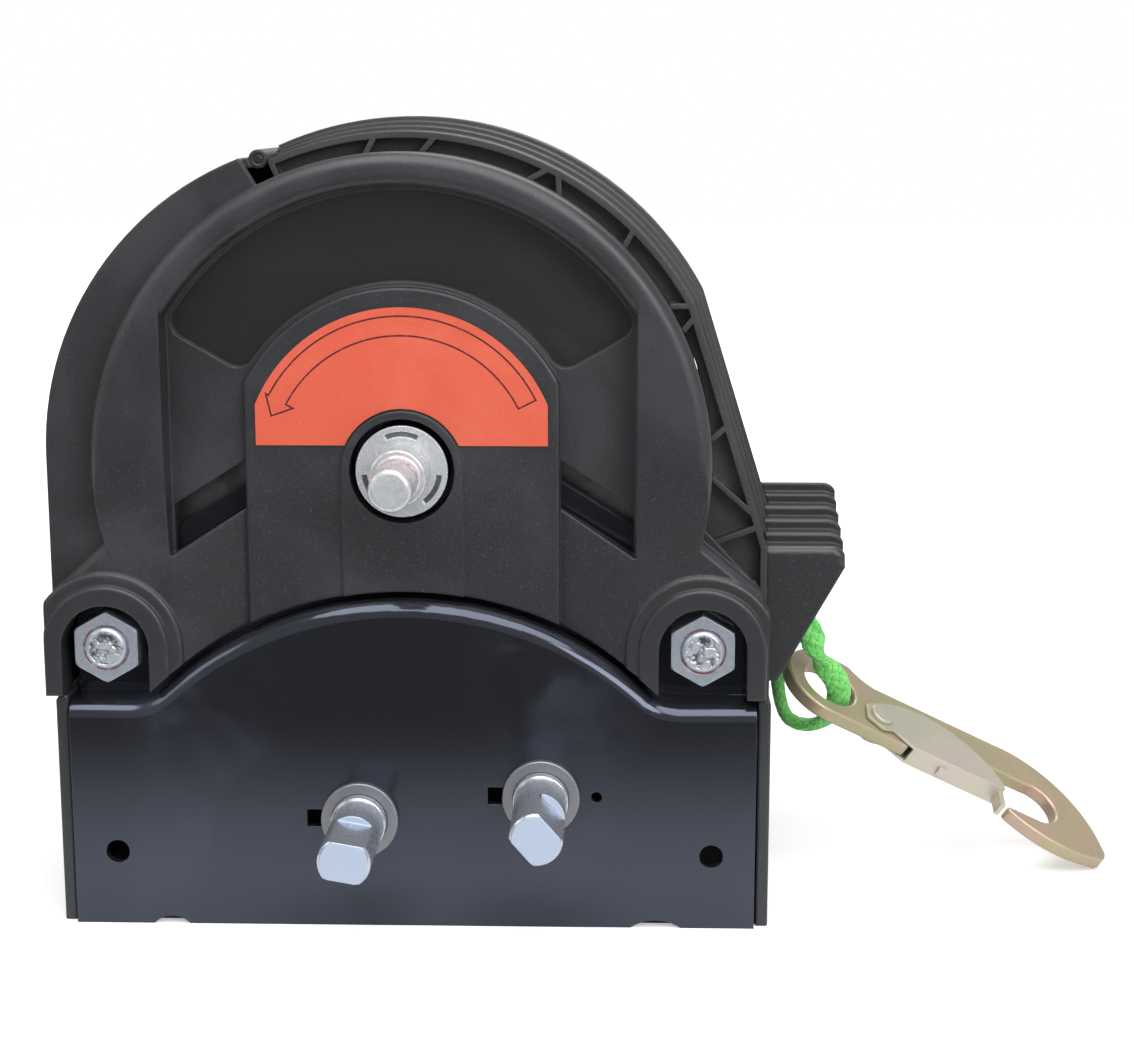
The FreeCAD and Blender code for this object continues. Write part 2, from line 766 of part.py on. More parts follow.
def snout_block(top, y0, y1):
    right = hood_side_x + snout_reach
    turn = snout_round * (1 - math.sqrt(0.5))
    return slab([
        line(xz(hood_side_x, top), xz(right - snout_round, top)),
        arc(xz(right - snout_round, top), xz(right - turn, top - turn), xz(right, top - snout_round)),
        line(xz(right, top - snout_round), xz(right + nose_reach, top - snout_nose)),
        line(xz(right + nose_reach, top - snout_nose), xz(hood_side_x + nose_reach, snout_tip_z)),
        line(xz(hood_side_x + nose_reach, snout_tip_z), xz(hood_side_x, snout_tip_z)),
        line(xz(hood_side_x, snout_tip_z), xz(hood_side_x, top)),
    ], y0, y1)


def snout():
    far = snout_tip_z - 2 * wall
    outside = hood_side_x + snout_reach
    y = snout_front
    bands = []
    for step in range(snout_steps + 1):
        top = snout_top + snout_step_rise * step
        y1 = mid_y if step == snout_steps else y + snout_step_width
        outer = snout_block(top, y, y1)
        mouth = y + wall if step == 0 else y - 1
        inner = polygon([(hood_side_x - wall, top - wall), (outside - wall, top - wall),
                         (outside + wall, far), (hood_side_x - wall, far)], mouth, y1 + 1)
        if step == 0:
            edges = [e for e in outer.Edges if e.BoundBox.YMax < y + 0.01 and e.BoundBox.XMax > outside - wall]
            outer = outer.makeFillet(cheek_round, [e for e in edges if e.BoundBox.ZMin > snout_tip_z + wall])
        bands.append(outer.cut(inner))
        y = y1
    front = bands[0].fuse(bands[1:])
    return front.fuse(mirrored(front)).cut(hood_shell())


# Lower casing between the plates
def lower_casing():
    left = plate_left - casing_gap - casing_wall
    right = plate_right + casing_gap + casing_wall
    y0 = sheet - 1
    top = shoulder_z + cover_gap - joint_gap
    outer = polygon([(left, 0), (right, 0), (right, top - casing_slope), (right - casing_bevel, top),
                     (left + casing_bevel, top), (left, top - casing_slope)], y0, depth - y0)
    inner = box(left + casing_wall, right - casing_wall, y0 - 1, depth, casing_floor, top + 1)
    ends = box(left + casing_wall, right - casing_wall, y0 - 1, sheet + joint_gap, -1, top + 1)
    return outer.cut(inner).cut(ends).cut(mirrored(ends))


def label():
    rise = math.sqrt(label_outer ** 2 - label_half ** 2)
    y = web_front - platform_rise
    piece = slab([
        line(xz(-label_half, label_bottom), xz(-label_half, rim_centre_z + rise)),
        arc(xz(-label_half, rim_centre_z + rise), xz(0, rim_centre_z + label_outer), xz(label_half, rim_centre_z + rise)),
        line(xz(label_half, rim_centre_z + rise), xz(label_half, label_bottom)),
        line(xz(label_half, label_bottom), xz(-label_half, label_bottom)),
    ], y - label_thickness, y)
    return piece.cut(rod(0, axis_z, strip_half + 0.5, y - 1, y + 1))


def tie_bolt(x):
    back = depth - recess
    front = recess - nut_height - bolt_proud
    shank = rod(x, bolt_z, bolt_radius, front, back)
    shank = shank.makeChamfer(thread_lead, [e for e in shank.Edges if e.BoundBox.YMax < front + 0.01])
    return shank.fuse(hexagon(x, bolt_z, nut_flats, back, back + bolt_head))


def nut(x):
    front = recess - nut_height
    middle = front + nut_chamfer
    corner = nut_flats / math.sqrt(3)
    body = hexagon(x, bolt_z, nut_flats, front, recess)
    cone = Part.makeCone(corner - nut_chamfer, corner, nut_chamfer, V(x, front, bolt_z), V(0, 1, 0))
    body = body.common(cone.fuse(rod(x, bolt_z, nut_flats, middle, recess)))
    lead = Part.makeCone(bolt_radius + thread_lead, bolt_radius, thread_lead, V(x, front, bolt_z), V(0, 1, 0))
    return body.cut(rod(x, bolt_z, bolt_radius, 0, recess + 1)).cut(lead)


def hinge_pin():
    return rod(hinge_x, hinge_z, pin_radius, fixed_knuckles[0][0], fixed_knuckles[-1][1])


# Snap hook in its own plane: u along the hook, v across it
def place_hook(shape):
    along = hook_tip.sub(hook_eye)
    yaw = math.degrees(math.atan2(along.y, along.x))
    pitch = math.degrees(math.asin(along.z / along.Length))
    shape.rotate(V(0, 0, 0), V(1, 0, 0), -hook_roll)
    shape.rotate(V(0, 0, 0), V(0, 1, 0), -pitch)
    shape.rotate(V(0, 0, 0), V(0, 0, 1), yaw)
    shape.translate(hook_eye)
    return shape


def hook_body():
    half = hook_thickness / 2
    eye_left = eye_u - eye_outer
    bill_top = bowl_v - bowl_radius
    outer = slab([
        arc(xz(eye_u, eye_v + eye_outer), xz(eye_left, eye_v), xz(eye_u, eye_v - eye_outer)),
        line(xz(eye_u, eye_v - eye_outer), xz(step_u, eye_v - eye_outer)),
        line(xz(step_u, eye_v - eye_outer), xz(step_u + stem_step, stem_low)),
        line(xz(step_u + stem_step, stem_low), xz(bowl_u, stem_low)),
        line(xz(bowl_u, stem_low), xz(bowl_u, bill_top)),
        line(xz(bowl_u, bill_top), xz(bill_u, bill_top)),
        line(xz(bill_u, bill_top), xz(bill_u, bill_top - bill_drop)),
        arc(xz(bill_u, bill_top - bill_drop), xz(*bill_under), xz(*bill_end)),
        arc(xz(*bill_end), xz(*nose_point), xz(*nose_top)),
        arc(xz(*nose_top), xz(*back_bend), xz(back_start, stem_top)),
        line(xz(back_start, stem_top), xz(neck_start, stem_top)),
        arc(xz(neck_start, stem_top), xz(*neck_bend), xz(*neck_end)),
        line(xz(*neck_end), xz(eye_u, eye_v + eye_outer)),
    ], -half, half)
    hole = rod(hole_u, hole_v, hole_radius, -past, past)
    hole = hole.fuse(rod(hole_u + hole_length, hole_v, hole_radius, -past, past))
    hole = hole.fuse(box(hole_u, hole_u + hole_length, -past, past, hole_v - hole_radius, hole_v + hole_radius))
    bowl = rod(bowl_u, bowl_v, bowl_radius, -past, past)
    rivet = rod(rivet_u, rivet_v, rivet_radius, -past, past)
    return place_hook(outer.cut(hole).cut(bowl).cut(rivet))


def hook_latch():
    inside = hook_thickness / 2 + latch_gap
    outside = inside + latch_sheet
    low = eye_v - eye_outer - latch_sheet
    cheek = [
        line(xz(cheek_start, rivet_v - cheek_half), xz(cheek_start, rivet_v + cheek_half)),
        arc(xz(cheek_start, rivet_v + cheek_half), xz(*cheek_crown), xz(gate_end, low + 2 * latch_sheet)),
        line(xz(gate_end, low + 2 * latch_sheet), xz(gate_end, low)),
        line(xz(gate_end, low), xz(gate_start, low)),
        line(xz(gate_start, low), xz(cheek_toe[0], low + cheek_toe[1])),
        line(xz(cheek_toe[0], low + cheek_toe[1]), xz(cheek_heel[0], low + cheek_heel[1])),
        line(xz(cheek_heel[0], low + cheek_heel[1]), xz(cheek_start, rivet_v - cheek_half)),
    ]
    front = slab(cheek, -outside, -inside)
    rear = slab(cheek, inside, outside)
    bridge = box(gate_start, gate_end, -outside, outside, low, low + latch_sheet)
    half = hook_thickness / 2
    tab = box(gate_end - tab_width, gate_end, -half, half, low - tab_drop, low + latch_sheet)
    stamp = box(*stamp_box, low - latch_sheet, low + latch_sheet / 2)
    latch = front.fuse([rear, bridge, tab, stamp])
    latch = latch.cut(rod(rivet_u, rivet_v, rivet_radius + running_fit, -past, past))
    return place_hook(latch)


def hook_rivet():
    shank = hook_thickness / 2 + latch_gap + latch_sheet + running_fit
    rivet = rod(rivet_u, rivet_v, rivet_radius, -shank, shank)
    for side in (-1, 1):
        y0 = min(side * shank, side * (shank + rivet_head_height))
        rivet = rivet.fuse(rod(rivet_u, rivet_v, rivet_radius + rivet_head, y0, y0 + rivet_head_height))
    return place_hook(rivet)


# Rope from the winding through the snout, round the eye of the hook and back up
rope_route = (
    V(59.2, 50, 170.9),
    V(87.0, 50, 129.0),
    V(110.0, 50, 88.5),
    V(123.5, 50, 77.5),
    V(131.5, 51, 67.5),
    V(133.2, 54, 57.0),
    V(128.5, 60, 47.5),
    V(120.0, 63, 43.5),
    V(112.5, 63, 50.0),
    V(110.3, 62, 60.5),
    V(109.6, 61, 72.0),
    V(109.0, 60, 84.0),
)


def rope():
    points = list(rope_route)
    edges = []
    here = points[0]
    length = 0.0
    radii = []
    for k in range(1, len(points) - 1):
        before = points[k].sub(points[k - 1])
        after = points[k + 1].sub(points[k])
        turn = before.getAngle(after)
        cut_back = 0.45 * min(before.Length, after.Length)
        radius = cut_back / math.tan(turn / 2)
        radii.append(round(radius, 1))
        a = points[k].sub(V(before).normalize().multiply(cut_back))
        b = points[k].add(V(after).normalize().multiply(cut_back))
        reach = radius / math.cos(turn / 2) - radius
        towards = a.add(b).multiply(0.5).sub(points[k]).normalize()
        middle = points[k].add(towards.multiply(reach))
        edges.append(Part.LineSegment(here, a).toShape())
        edges.append(Part.Arc(a, middle, b).toShape())
        length += here.distanceToPoint(a) + radius * turn
        here = b
    edges.append(Part.LineSegment(here, points[-1]).toShape())
    length += here.distanceToPoint(points[-1])
    path = Part.Wire(edges)
    first = points[1].sub(points[0])
    ring = Part.Wire(Part.Circle(points[0], first, rope_radius).toShape())
    solid = path.makePipeShell([ring], True, False)
    ratio = solid.Volume / (math.pi * rope_radius ** 2 * length)
    print("rope length", round(length, 1), "volume ratio", round(ratio, 4), "radii", radii)
    return solid


front = front_plate()
save("front_plate", front)
save("rear_plate", mirrored(front))
cover = front_cover()
save("front_cover", cover)
save("rear_cover", mirrored(cover))
save("lower_casing", lower_casing())
save("label", label())
save("hood_shell", hood_shell())
save("snout", snout())
save("hinge_pin", hinge_pin())
save("drum_gear", drum_gear())
save("drum_flange", tube(0, axis_z, flange_radius, shaft_radius, flange_front, flange_back))
save("drum_core", tube(0, axis_z, core_radius, core_radius - core_wall, gear_back, flange_front))
save("rope_winding", tube(0, axis_z, winding_radius, core_radius, gear_back, flange_front))
save("drum_shaft", drum_shaft())
save("retaining_washer", retaining_washer())
bore = shaft_radius + running_fit
for y, name in ((recess, "front"), (depth - recess, "rear")):
    bush = bushing(0, axis_z, y, bore)
    save("drum_bushing_" + name, bush if name == "front" else mirrored(bushing(0, axis_z, recess, bore)))
for name, x, z in drive_shafts:
    turn = drive_turns[0] if name == "left" else drive_turns[1]
    save(name + "_drive_shaft", drive_shaft(x, z, turn))
    save(name + "_pinion", gear_profile(pinion_teeth, x, z, mesh_phase(x, z), gear_front, gear_back, shaft_radius))
    bush = bushing(x, z, 0, bore)
    save(name + "_bushing_front", bush)
    save(name + "_bushing_rear", mirrored(bush))
for name, side in (("left", -1), ("right", 1)):
    x = side * bolt_x
    save(name + "_tie_bolt", tie_bolt(x))
    save(name + "_nut", nut(x))
    save(name + "_spacer", tube(x, bolt_z, spacer_radius, bolt_radius, recess + sheet, depth - recess - sheet))
save("hook_body", hook_body())
save("hook_latch", hook_latch())
save("hook_rivet", hook_rivet())
save("rope", rope())
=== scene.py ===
import bpy
import bmesh
import json
import math
from mathutils import Matrix, Vector, noise

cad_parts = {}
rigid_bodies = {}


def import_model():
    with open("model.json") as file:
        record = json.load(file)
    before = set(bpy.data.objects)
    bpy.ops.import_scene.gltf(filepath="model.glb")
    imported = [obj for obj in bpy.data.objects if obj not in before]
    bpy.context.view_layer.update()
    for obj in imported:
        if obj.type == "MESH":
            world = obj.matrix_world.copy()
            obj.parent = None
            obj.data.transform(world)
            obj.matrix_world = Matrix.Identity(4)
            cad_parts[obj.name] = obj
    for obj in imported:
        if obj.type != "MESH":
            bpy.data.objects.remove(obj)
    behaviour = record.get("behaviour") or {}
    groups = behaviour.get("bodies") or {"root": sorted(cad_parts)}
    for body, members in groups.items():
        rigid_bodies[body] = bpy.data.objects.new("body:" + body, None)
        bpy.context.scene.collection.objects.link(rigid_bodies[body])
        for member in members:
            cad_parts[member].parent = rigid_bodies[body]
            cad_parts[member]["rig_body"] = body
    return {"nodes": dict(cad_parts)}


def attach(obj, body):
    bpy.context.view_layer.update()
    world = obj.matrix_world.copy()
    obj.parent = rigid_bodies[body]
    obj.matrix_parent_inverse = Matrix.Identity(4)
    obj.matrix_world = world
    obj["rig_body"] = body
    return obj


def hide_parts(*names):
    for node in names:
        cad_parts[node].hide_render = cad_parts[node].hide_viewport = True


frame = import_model()
bpy.context.scene.view_settings.view_transform = "Standard"
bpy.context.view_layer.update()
nodes = frame["nodes"]
mm = 0.001
midY = 58.0  # the drawing counts y from the front plate's face, the frame from halfway
drumZ = 134.5  # height of the drum's axis
archZ = 136.0  # height that the arches of the covers, the fan panel and the label are struck from


def place(x, y, z):
    return Vector((x, y - midY, z)) * mm


# Camera, as the photograph was taken: a little above the drum and to the right of it
cameraSet = {
    "place": (0.0632, -0.6508, 0.2351),
    "tilt": 78.975,
    "turn": 1.558,
    "lens": 67.85,
    "sensor": 36,
    "near": 0.01,
}


def setCamera():
    data = bpy.data.cameras.new("camera")
    data.lens = cameraSet["lens"]
    data.sensor_width = cameraSet["sensor"]
    data.clip_start = cameraSet["near"]
    camera = bpy.data.objects.new("camera", data)
    camera.location = cameraSet["place"]
    camera.rotation_euler = (math.radians(cameraSet["tilt"]), 0, math.radians(cameraSet["turn"]))
    bpy.context.collection.objects.link(camera)
    bpy.context.scene.camera = camera


# Small helpers for node trees
def addNode(tree, kind, values=None, **settings):
    node = tree.nodes.new(kind)
    for name, value in settings.items():
        setattr(node, name, value)
    for name, value in (values or {}).items():
        node.inputs[name].default_value = value
    return node


def join(tree, source, target):
    tree.links.new(source, target)


def newGroup(name, inputs, outputs):
    group = bpy.data.node_groups.new(name, "ShaderNodeTree")
    for labels, way in ((inputs, "INPUT"), (outputs, "OUTPUT")):
        for label in labels:
            group.interface.new_socket(label, in_out=way, socket_type="NodeSocketFloat")
    start = addNode(group, "NodeGroupInput")
    end = addNode(group, "NodeGroupOutput")
    return group, start, end


def fillGroup(tree, group, values):
    return addNode(tree, "ShaderNodeGroup", values, node_tree=group)


def math2(tree, operation, a, b=0.0):
    node = addNode(tree, "ShaderNodeMath", operation=operation)
    for slot, value in zip(node.inputs, (a, b)):
        if isinstance(value, (int, float)):
            slot.default_value = value
        else:
            join(tree, value, slot)
    return node.outputs[0]


def ramp(tree, fac, low, high, a=0.0, b=1.0):
    values = {"From Min": low, "From Max": high, "To Min": a, "To Max": b}
    node = addNode(tree, "ShaderNodeMapRange", values, clamp=True, interpolation_type="SMOOTHSTEP")
    join(tree, fac, node.inputs["Value"])
    return node.outputs["Result"]


def mixColour(tree, fac, a, b):
    node = addNode(tree, "ShaderNodeMix", data_type="RGBA")
    for name, value in (("A", a), ("B", b)):
        if isinstance(value, tuple):
            node.inputs[name].default_value = value + (1,)
        else:
            join(tree, value, node.inputs[name])
    join(tree, fac, node.inputs["Factor"])
    return node.outputs["Result"]


def objectSpot(tree):
    return addNode(tree, "ShaderNodeTexCoord").outputs["Object"]


def split(tree, vector):
    node = addNode(tree, "ShaderNodeSeparateXYZ")
    join(tree, vector, node.inputs[0])
    return node.outputs


def texture(tree, kind, spot, size, values):
    node = addNode(tree, kind, values)
    join(tree, spot, node.inputs["Vector"])
    join(tree, size, node.inputs["Scale"])
    return node


def distance(tree, a, b):
    square = math2(tree, "ADD", math2(tree, "MULTIPLY", a, a), math2(tree, "MULTIPLY", b, b))
    return math2(tree, "SQRT", square)


# Shared effects: the grain of moulded and sintered faces, the marks of handling, and a lathe's rings
grainSet = {
    "fine": {"Detail": 3.0, "Roughness": 0.6},
    "dotScale": 1.3,
    "dotReach": (0.05, 0.45),
    "dotHeight": 0.6,
    "rare": (0.56, 0.72),
}


def makeGrain():
    s = grainSet
    group, start, end = newGroup("mouldGrain", ["Size", "Speckle"], ["Height", "Mask"])
    spot = objectSpot(group)
    size = start.outputs["Size"]
    fine = texture(group, "ShaderNodeTexNoise", spot, size, s["fine"]).outputs["Fac"]
    dots = texture(group, "ShaderNodeTexVoronoi", spot, math2(group, "MULTIPLY", size, s["dotScale"]), {})
    near = ramp(group, dots.outputs["Distance"], *s["dotReach"], 1.0, 0.0)
    height = math2(group, "ADD", fine, math2(group, "MULTIPLY", near, s["dotHeight"]))
    join(group, height, end.inputs["Height"])
    rare = ramp(group, fine, *s["rare"])
    join(group, math2(group, "MULTIPLY", rare, start.outputs["Speckle"]), end.inputs["Mask"])
    return group


smudgeSet = {
    "broad": {"Detail": 5.0, "Roughness": 0.55, "Distortion": 1.2},
    "small": {"Detail": 2.0, "Roughness": 0.6},
    "smallScale": 22.0,
    "marked": (0.42, 0.66),
}


def makeSmudge():
    s = smudgeSet
    group, start, end = newGroup("handling", ["Size"], ["Mask", "Fine"])
    spot = objectSpot(group)
    size = start.outputs["Size"]
    broad = texture(group, "ShaderNodeTexNoise", spot, size, s["broad"])
    fine = math2(group, "MULTIPLY", size, s["smallScale"])
    small = texture(group, "ShaderNodeTexNoise", spot, fine, s["small"])
    join(group, ramp(group, broad.outputs["Fac"], *s["marked"]), end.inputs["Mask"])
    join(group, small.outputs["Fac"], end.inputs["Fine"])
    return group


# The rings show only on a face that is square to the shafts
squareFace = (0.9, 0.98)


def makeTurned():
    group, start, end = newGroup("turnedRings", ["X", "Z", "Pitch"], ["Height"])
    spot = split(group, objectSpot(group))
    away = distance(group, math2(group, "SUBTRACT", spot["X"], start.outputs["X"]),
                     math2(group, "SUBTRACT", spot["Z"], start.outputs["Z"]))
    wave = math2(group, "SINE", math2(group, "MULTIPLY", away, start.outputs["Pitch"]))
    normal = split(group, addNode(group, "ShaderNodeNewGeometry").outputs["True Normal"])
    face = ramp(group, math2(group, "ABSOLUTE", normal["Y"]), *squareFace)
    join(group, math2(group, "MULTIPLY", wave, face), end.inputs["Height"])
    return group


grain = makeGrain()
smudge = makeSmudge()
turned = makeTurned()


# Materials
def newMaterial(name, colour, roughness, metallic=0.0):
    mat = bpy.data.materials.new(name)
    mat.use_nodes = True
    tree = mat.node_tree
    shade = tree.nodes["Principled BSDF"]
    shade.inputs["Base Color"].default_value = colour + (1,)
    shade.inputs["Roughness"].default_value = roughness
    shade.inputs["Metallic"].default_value = metallic
    return mat, tree, shade


def bump(tree, shade, height, strength, distance, under=None):
    node = addNode(tree, "ShaderNodeBump", {"Strength": strength, "Distance": distance})
    join(tree, height, node.inputs["Height"])
    if under:
        join(tree, under, node.inputs["Normal"])
    join(tree, node.outputs["Normal"], shade.inputs["Normal"])


# An edge catches light over its small radius, here in millimetres
def roundedNormal(tree, radius):
    node = addNode(tree, "ShaderNodeBevel", {"Radius": radius * mm}, samples=6)
    return node.outputs["Normal"]


# What all moulded pieces have in common
mouldSet = {
    "specular": 0.7,
    "marks": 14.0,
    "grain": 0.55,
}

plasticSet = {
    "colour": (0.0240, 0.0256, 0.0290),
    "worn": (0.0330, 0.0354, 0.0400),
    "speck": (0.090, 0.096, 0.106),
    "speckle": 0.5,
    "roughness": (0.38, 0.50),
    "grainSize": 1500.0,
    "grainDepth": 0.00006,
    "edge": 1.1,
}

# The hood's plastic is paler than the covers': painted light, for the light that falls on the top of the
# winch
hoodLitSet = {
    "colour": (0.0400, 0.0406, 0.0420),
    "worn": (0.0530, 0.0536, 0.0550),
    "speck": (0.110, 0.112, 0.116),
    "speckle": 0.5,
    "roughness": (0.46, 0.58),
    "grainSize": 1500.0,
    "grainDepth": 0.00007,
    "edge": 0.7,
}

panelSet = {
    "colour": (0.0140, 0.0146, 0.0162),
    "worn": (0.0180, 0.0187, 0.0207),
    "speck": (0.030, 0.032, 0.036),
    "speckle": 0.3,
    "roughness": (0.30, 0.40),
    "grainSize": 2200.0,
    "grainDepth": 0.00002,
    "edge": 0.45,
}


def plastic(name, s):
    mat, tree, shade = newMaterial(name, s["colour"], s["roughness"][0])
    skin = fillGroup(tree, grain, {"Size": s["grainSize"], "Speckle": s["speckle"]})
    marks = fillGroup(tree, smudge, {"Size": mouldSet["marks"]})
    patchy = mixColour(tree, marks.outputs["Mask"], s["colour"], s["worn"])
    join(tree, mixColour(tree, skin.outputs["Mask"], patchy, s["speck"]), shade.inputs["Base Color"])
    join(tree, ramp(tree, marks.outputs["Mask"], 0.0, 1.0, *s["roughness"]), shade.inputs["Roughness"])
    shade.inputs["Specular IOR Level"].default_value = mouldSet["specular"]
    rounded = roundedNormal(tree, s["edge"])
    bump(tree, shade, skin.outputs["Height"], mouldSet["grain"], s["grainDepth"], rounded)
    return mat


paintSet = {
    "colour": (0.0150, 0.0152, 0.0178),
    "hazed": (0.0330, 0.0345, 0.0450),
    # painted reflection: the blue tint of the paint's reflections
    "tint": (0.64, 0.74, 1.0, 1),
    "roughness": (0.11, 0.30),
    "specular": 1.0,
    "coat": 0.25,
    "coatRoughness": 0.06,
    "marks": 26.0,
    "wideMarks": 7.0,
    "wave": (0.12, 0.000035),
    "edge": 0.5,
}


def glossPaint():
    s = paintSet
    mat, tree, shade = newMaterial("blackPaint", s["colour"], s["roughness"][0])
    marks = fillGroup(tree, smudge, {"Size": s["marks"]})
    wide = fillGroup(tree, smudge, {"Size": s["wideMarks"]})
    haze = math2(tree, "MULTIPLY", marks.outputs["Mask"], wide.outputs["Mask"])
    join(tree, mixColour(tree, haze, s["colour"], s["hazed"]), shade.inputs["Base Color"])
    join(tree, ramp(tree, haze, 0.0, 1.0, *s["roughness"]), shade.inputs["Roughness"])
    shade.inputs["Specular IOR Level"].default_value = s["specular"]
    shade.inputs["Specular Tint"].default_value = s["tint"]
    shade.inputs["Coat Weight"].default_value = s["coat"]
    shade.inputs["Coat Roughness"].default_value = s["coatRoughness"]
    bump(tree, shade, marks.outputs["Fine"], *s["wave"], roundedNormal(tree, s["edge"]))
    return mat


# What the plated metals have in common
platedSet = {
    "marks": 300.0,
    "pitch": 9000.0,
    "rings": 0.8,
    "gritDepth": 0.00003,
}

zincSet = {
    "colour": (0.58, 0.63, 0.72),
    "dull": (0.45, 0.49, 0.57),
    "roughness": (0.30, 0.42),
    "metal": 0.65,
    "edge": 0.4,
    "grit": 0.08,
}

brightSet = {
    "colour": (0.76, 0.78, 0.80),
    "dull": (0.62, 0.64, 0.67),
    "roughness": (0.25, 0.36),
    "metal": 0.5,
    "edge": 0.3,
    "grit": 0.03,
}

driveSet = {
    "colour": (0.64, 0.68, 0.76),
    "dull": (0.56, 0.60, 0.68),
    "roughness": (0.24, 0.30),
    "metal": 0.75,
    "edge": 0.0,
    "grit": 0.02,
}

# Thread locking fluid that is left round the ends of the tie bolts
fluidSet = {
    "colour": (0.50, 0.10, 0.05),
    "boltX": 0.086,
    "boltZ": 0.083,
    "ring": (0.0061, 0.0065, 0.0069),
    "marks": 14.0,
    "wear": (0.44, 0.52),
}

# What is left of a marking paint on the nose of the drum's shaft
traceSet = {
    "colour": (0.62, 0.22, 0.20),
    "front": (-0.0745, -0.0715),
    "back": (-0.0670, -0.0664),
    "marks": 30.0,
    "wear": (0.42, 0.56),
    "strength": 0.75,
}


def boltReach(tree):
    spot = split(tree, objectSpot(tree))
    off = math2(tree, "SUBTRACT", math2(tree, "ABSOLUTE", spot["X"]), fluidSet["boltX"])
    return distance(tree, off, math2(tree, "SUBTRACT", spot["Z"], fluidSet["boltZ"]))


def fluidMask(tree):
    s = fluidSet
    reach = boltReach(tree)
    inside, middle, outside = s["ring"]
    ring = math2(tree, "MULTIPLY", ramp(tree, reach, inside, middle),
                 ramp(tree, reach, middle, outside, 1.0, 0.0))
    worn = fillGroup(tree, smudge, {"Size": s["marks"]})
    return math2(tree, "MULTIPLY", ring, ramp(tree, worn.outputs["Fine"], *s["wear"]))


def traceMask(tree):
    s = traceSet
    along = split(tree, objectSpot(tree))["Y"]
    band = math2(tree, "MULTIPLY", ramp(tree, along, *s["front"], 0.0, s["strength"]),
                 ramp(tree, along, *s["back"], 1.0, 0.0))
    worn = fillGroup(tree, smudge, {"Size": s["marks"]})
    return math2(tree, "MULTIPLY", band, ramp(tree, worn.outputs["Fine"], *s["wear"]))


def zinc(name, s, rings=None, painted=False, locked=False):
    mat, tree, shade = newMaterial(name, s["colour"], s["roughness"][0], s["metal"])
    marks = fillGroup(tree, smudge, {"Size": platedSet["marks"]})
    tone = mixColour(tree, marks.outputs["Mask"], s["colour"], s["dull"])
    if painted:
        tone = mixColour(tree, traceMask(tree), tone, traceSet["colour"])
    if locked:
        tone = mixColour(tree, fluidMask(tree), tone, fluidSet["colour"])
    join(tree, tone, shade.inputs["Base Color"])
    join(tree, ramp(tree, marks.outputs["Mask"], 0.0, 1.0, *s["roughness"]), shade.inputs["Roughness"])
    height = marks.outputs["Fine"]
    if rings:
        lathe = fillGroup(tree, turned, {"X": rings[0], "Z": rings[1], "Pitch": platedSet["pitch"]})
        cut = math2(tree, "MULTIPLY", lathe.outputs["Height"], platedSet["rings"])
        height = math2(tree, "ADD", height, cut)
    rounded = roundedNormal(tree, s["edge"]) if s["edge"] else None
    bump(tree, shade, height, s["grit"], platedSet["gritDepth"], rounded)
    return mat


# The sawn and burred ends of the tie bolts
sawnSet = {
    "colour": (0.66, 0.70, 0.77),
    "dented": (0.15, 0.16, 0.19),
    "metal": 0.7,
    "marks": 15.0,
    "burred": (0.0044, 0.0052),
    "dents": (0.38, 0.66),
    "roughness": (0.3, 0.7, 0.45, 0.22),
    "depth": (0.8, 0.0007),
}


def sawnEnd():
    s = sawnSet
    mat, tree, shade = newMaterial("sawnEnd", s["colour"], s["roughness"][-1], s["metal"])
    marks = fillGroup(tree, smudge, {"Size": s["marks"]}).outputs["Fine"]
    middle = ramp(tree, boltReach(tree), *s["burred"], 1.0, 0.0)
    dented = math2(tree, "MULTIPLY", middle, ramp(tree, marks, *s["dents"]))
    join(tree, mixColour(tree, dented, s["colour"], s["dented"]), shade.inputs["Base Color"])
    join(tree, ramp(tree, marks, *s["roughness"]), shade.inputs["Roughness"])
    bump(tree, shade, math2(tree, "SUBTRACT", 1.0, dented), *s["depth"])
    return mat


# Two plain metals: the flat ends of the drive shafts, whose pale blue colour is a painted reflection, and
# machined steel. The mask is the marks to mix by.
endSet = {
    "colours": ((0.43, 0.52, 0.67), (0.51, 0.60, 0.73)),
    "roughness": 0.45,
    "metal": 0.1,
    "mask": "Fine",
    "marks": 90.0,
    "depth": (0.1, 0.00004),
}

gearSet = {
    "colours": ((0.38, 0.39, 0.41), (0.25, 0.25, 0.26)),
    "roughness": 0.38,
    "metal": 1.0,
    "mask": "Mask",
    "marks": 60.0,
    "depth": (0.3, 0.0001),
}


def plainMetal(name, s):
    mat, tree, shade = newMaterial(name, s["colours"][0], s["roughness"], s["metal"])
    marks = fillGroup(tree, smudge, {"Size": s["marks"]})
    join(tree, mixColour(tree, marks.outputs[s["mask"]], *s["colours"]), shade.inputs["Base Color"])
    bump(tree, shade, marks.outputs["Fine"], *s["depth"])
    return mat


sinterSet = {
    "colour": (0.36, 0.36, 0.38),
    "pore": (0.16, 0.16, 0.17),
    "roughness": 0.5,
    "metal": 1.0,
    "grain": {"Size": 3200.0, "Speckle": 0.8},
    "depth": (0.5, 0.00008),
}


def sintered():
    s = sinterSet
    mat, tree, shade = newMaterial("sintered", s["colour"], s["roughness"], s["metal"])
    skin = fillGroup(tree, grain, s["grain"])
    join(tree, mixColour(tree, skin.outputs["Mask"], s["colour"], s["pore"]), shade.inputs["Base Color"])
    bump(tree, shade, skin.outputs["Height"], *s["depth"])
    return mat


# What both chromated finishes have in common: the clouds of rose and of green
cloudSet = {
    "rose": 45.0,
    "green": 33.0,
    "greenShare": 0.6,
    "rough": (0.3, 0.7),
    "depth": (0.3, 0.00012),
}

chromateSet = {
    "gold": (0.54, 0.45, 0.29),
    "rose": (0.58, 0.41, 0.33),
    "green": (0.42, 0.43, 0.26),
    "roughness": (0.32, 0.46),
    "metal": 0.5,
}

leafSet = {
    "gold": (0.65, 0.60, 0.49),
    "rose": (0.66, 0.58, 0.51),
    "green": (0.53, 0.55, 0.43),
    "roughness": (0.28, 0.40),
    "metal": 0.5,
}


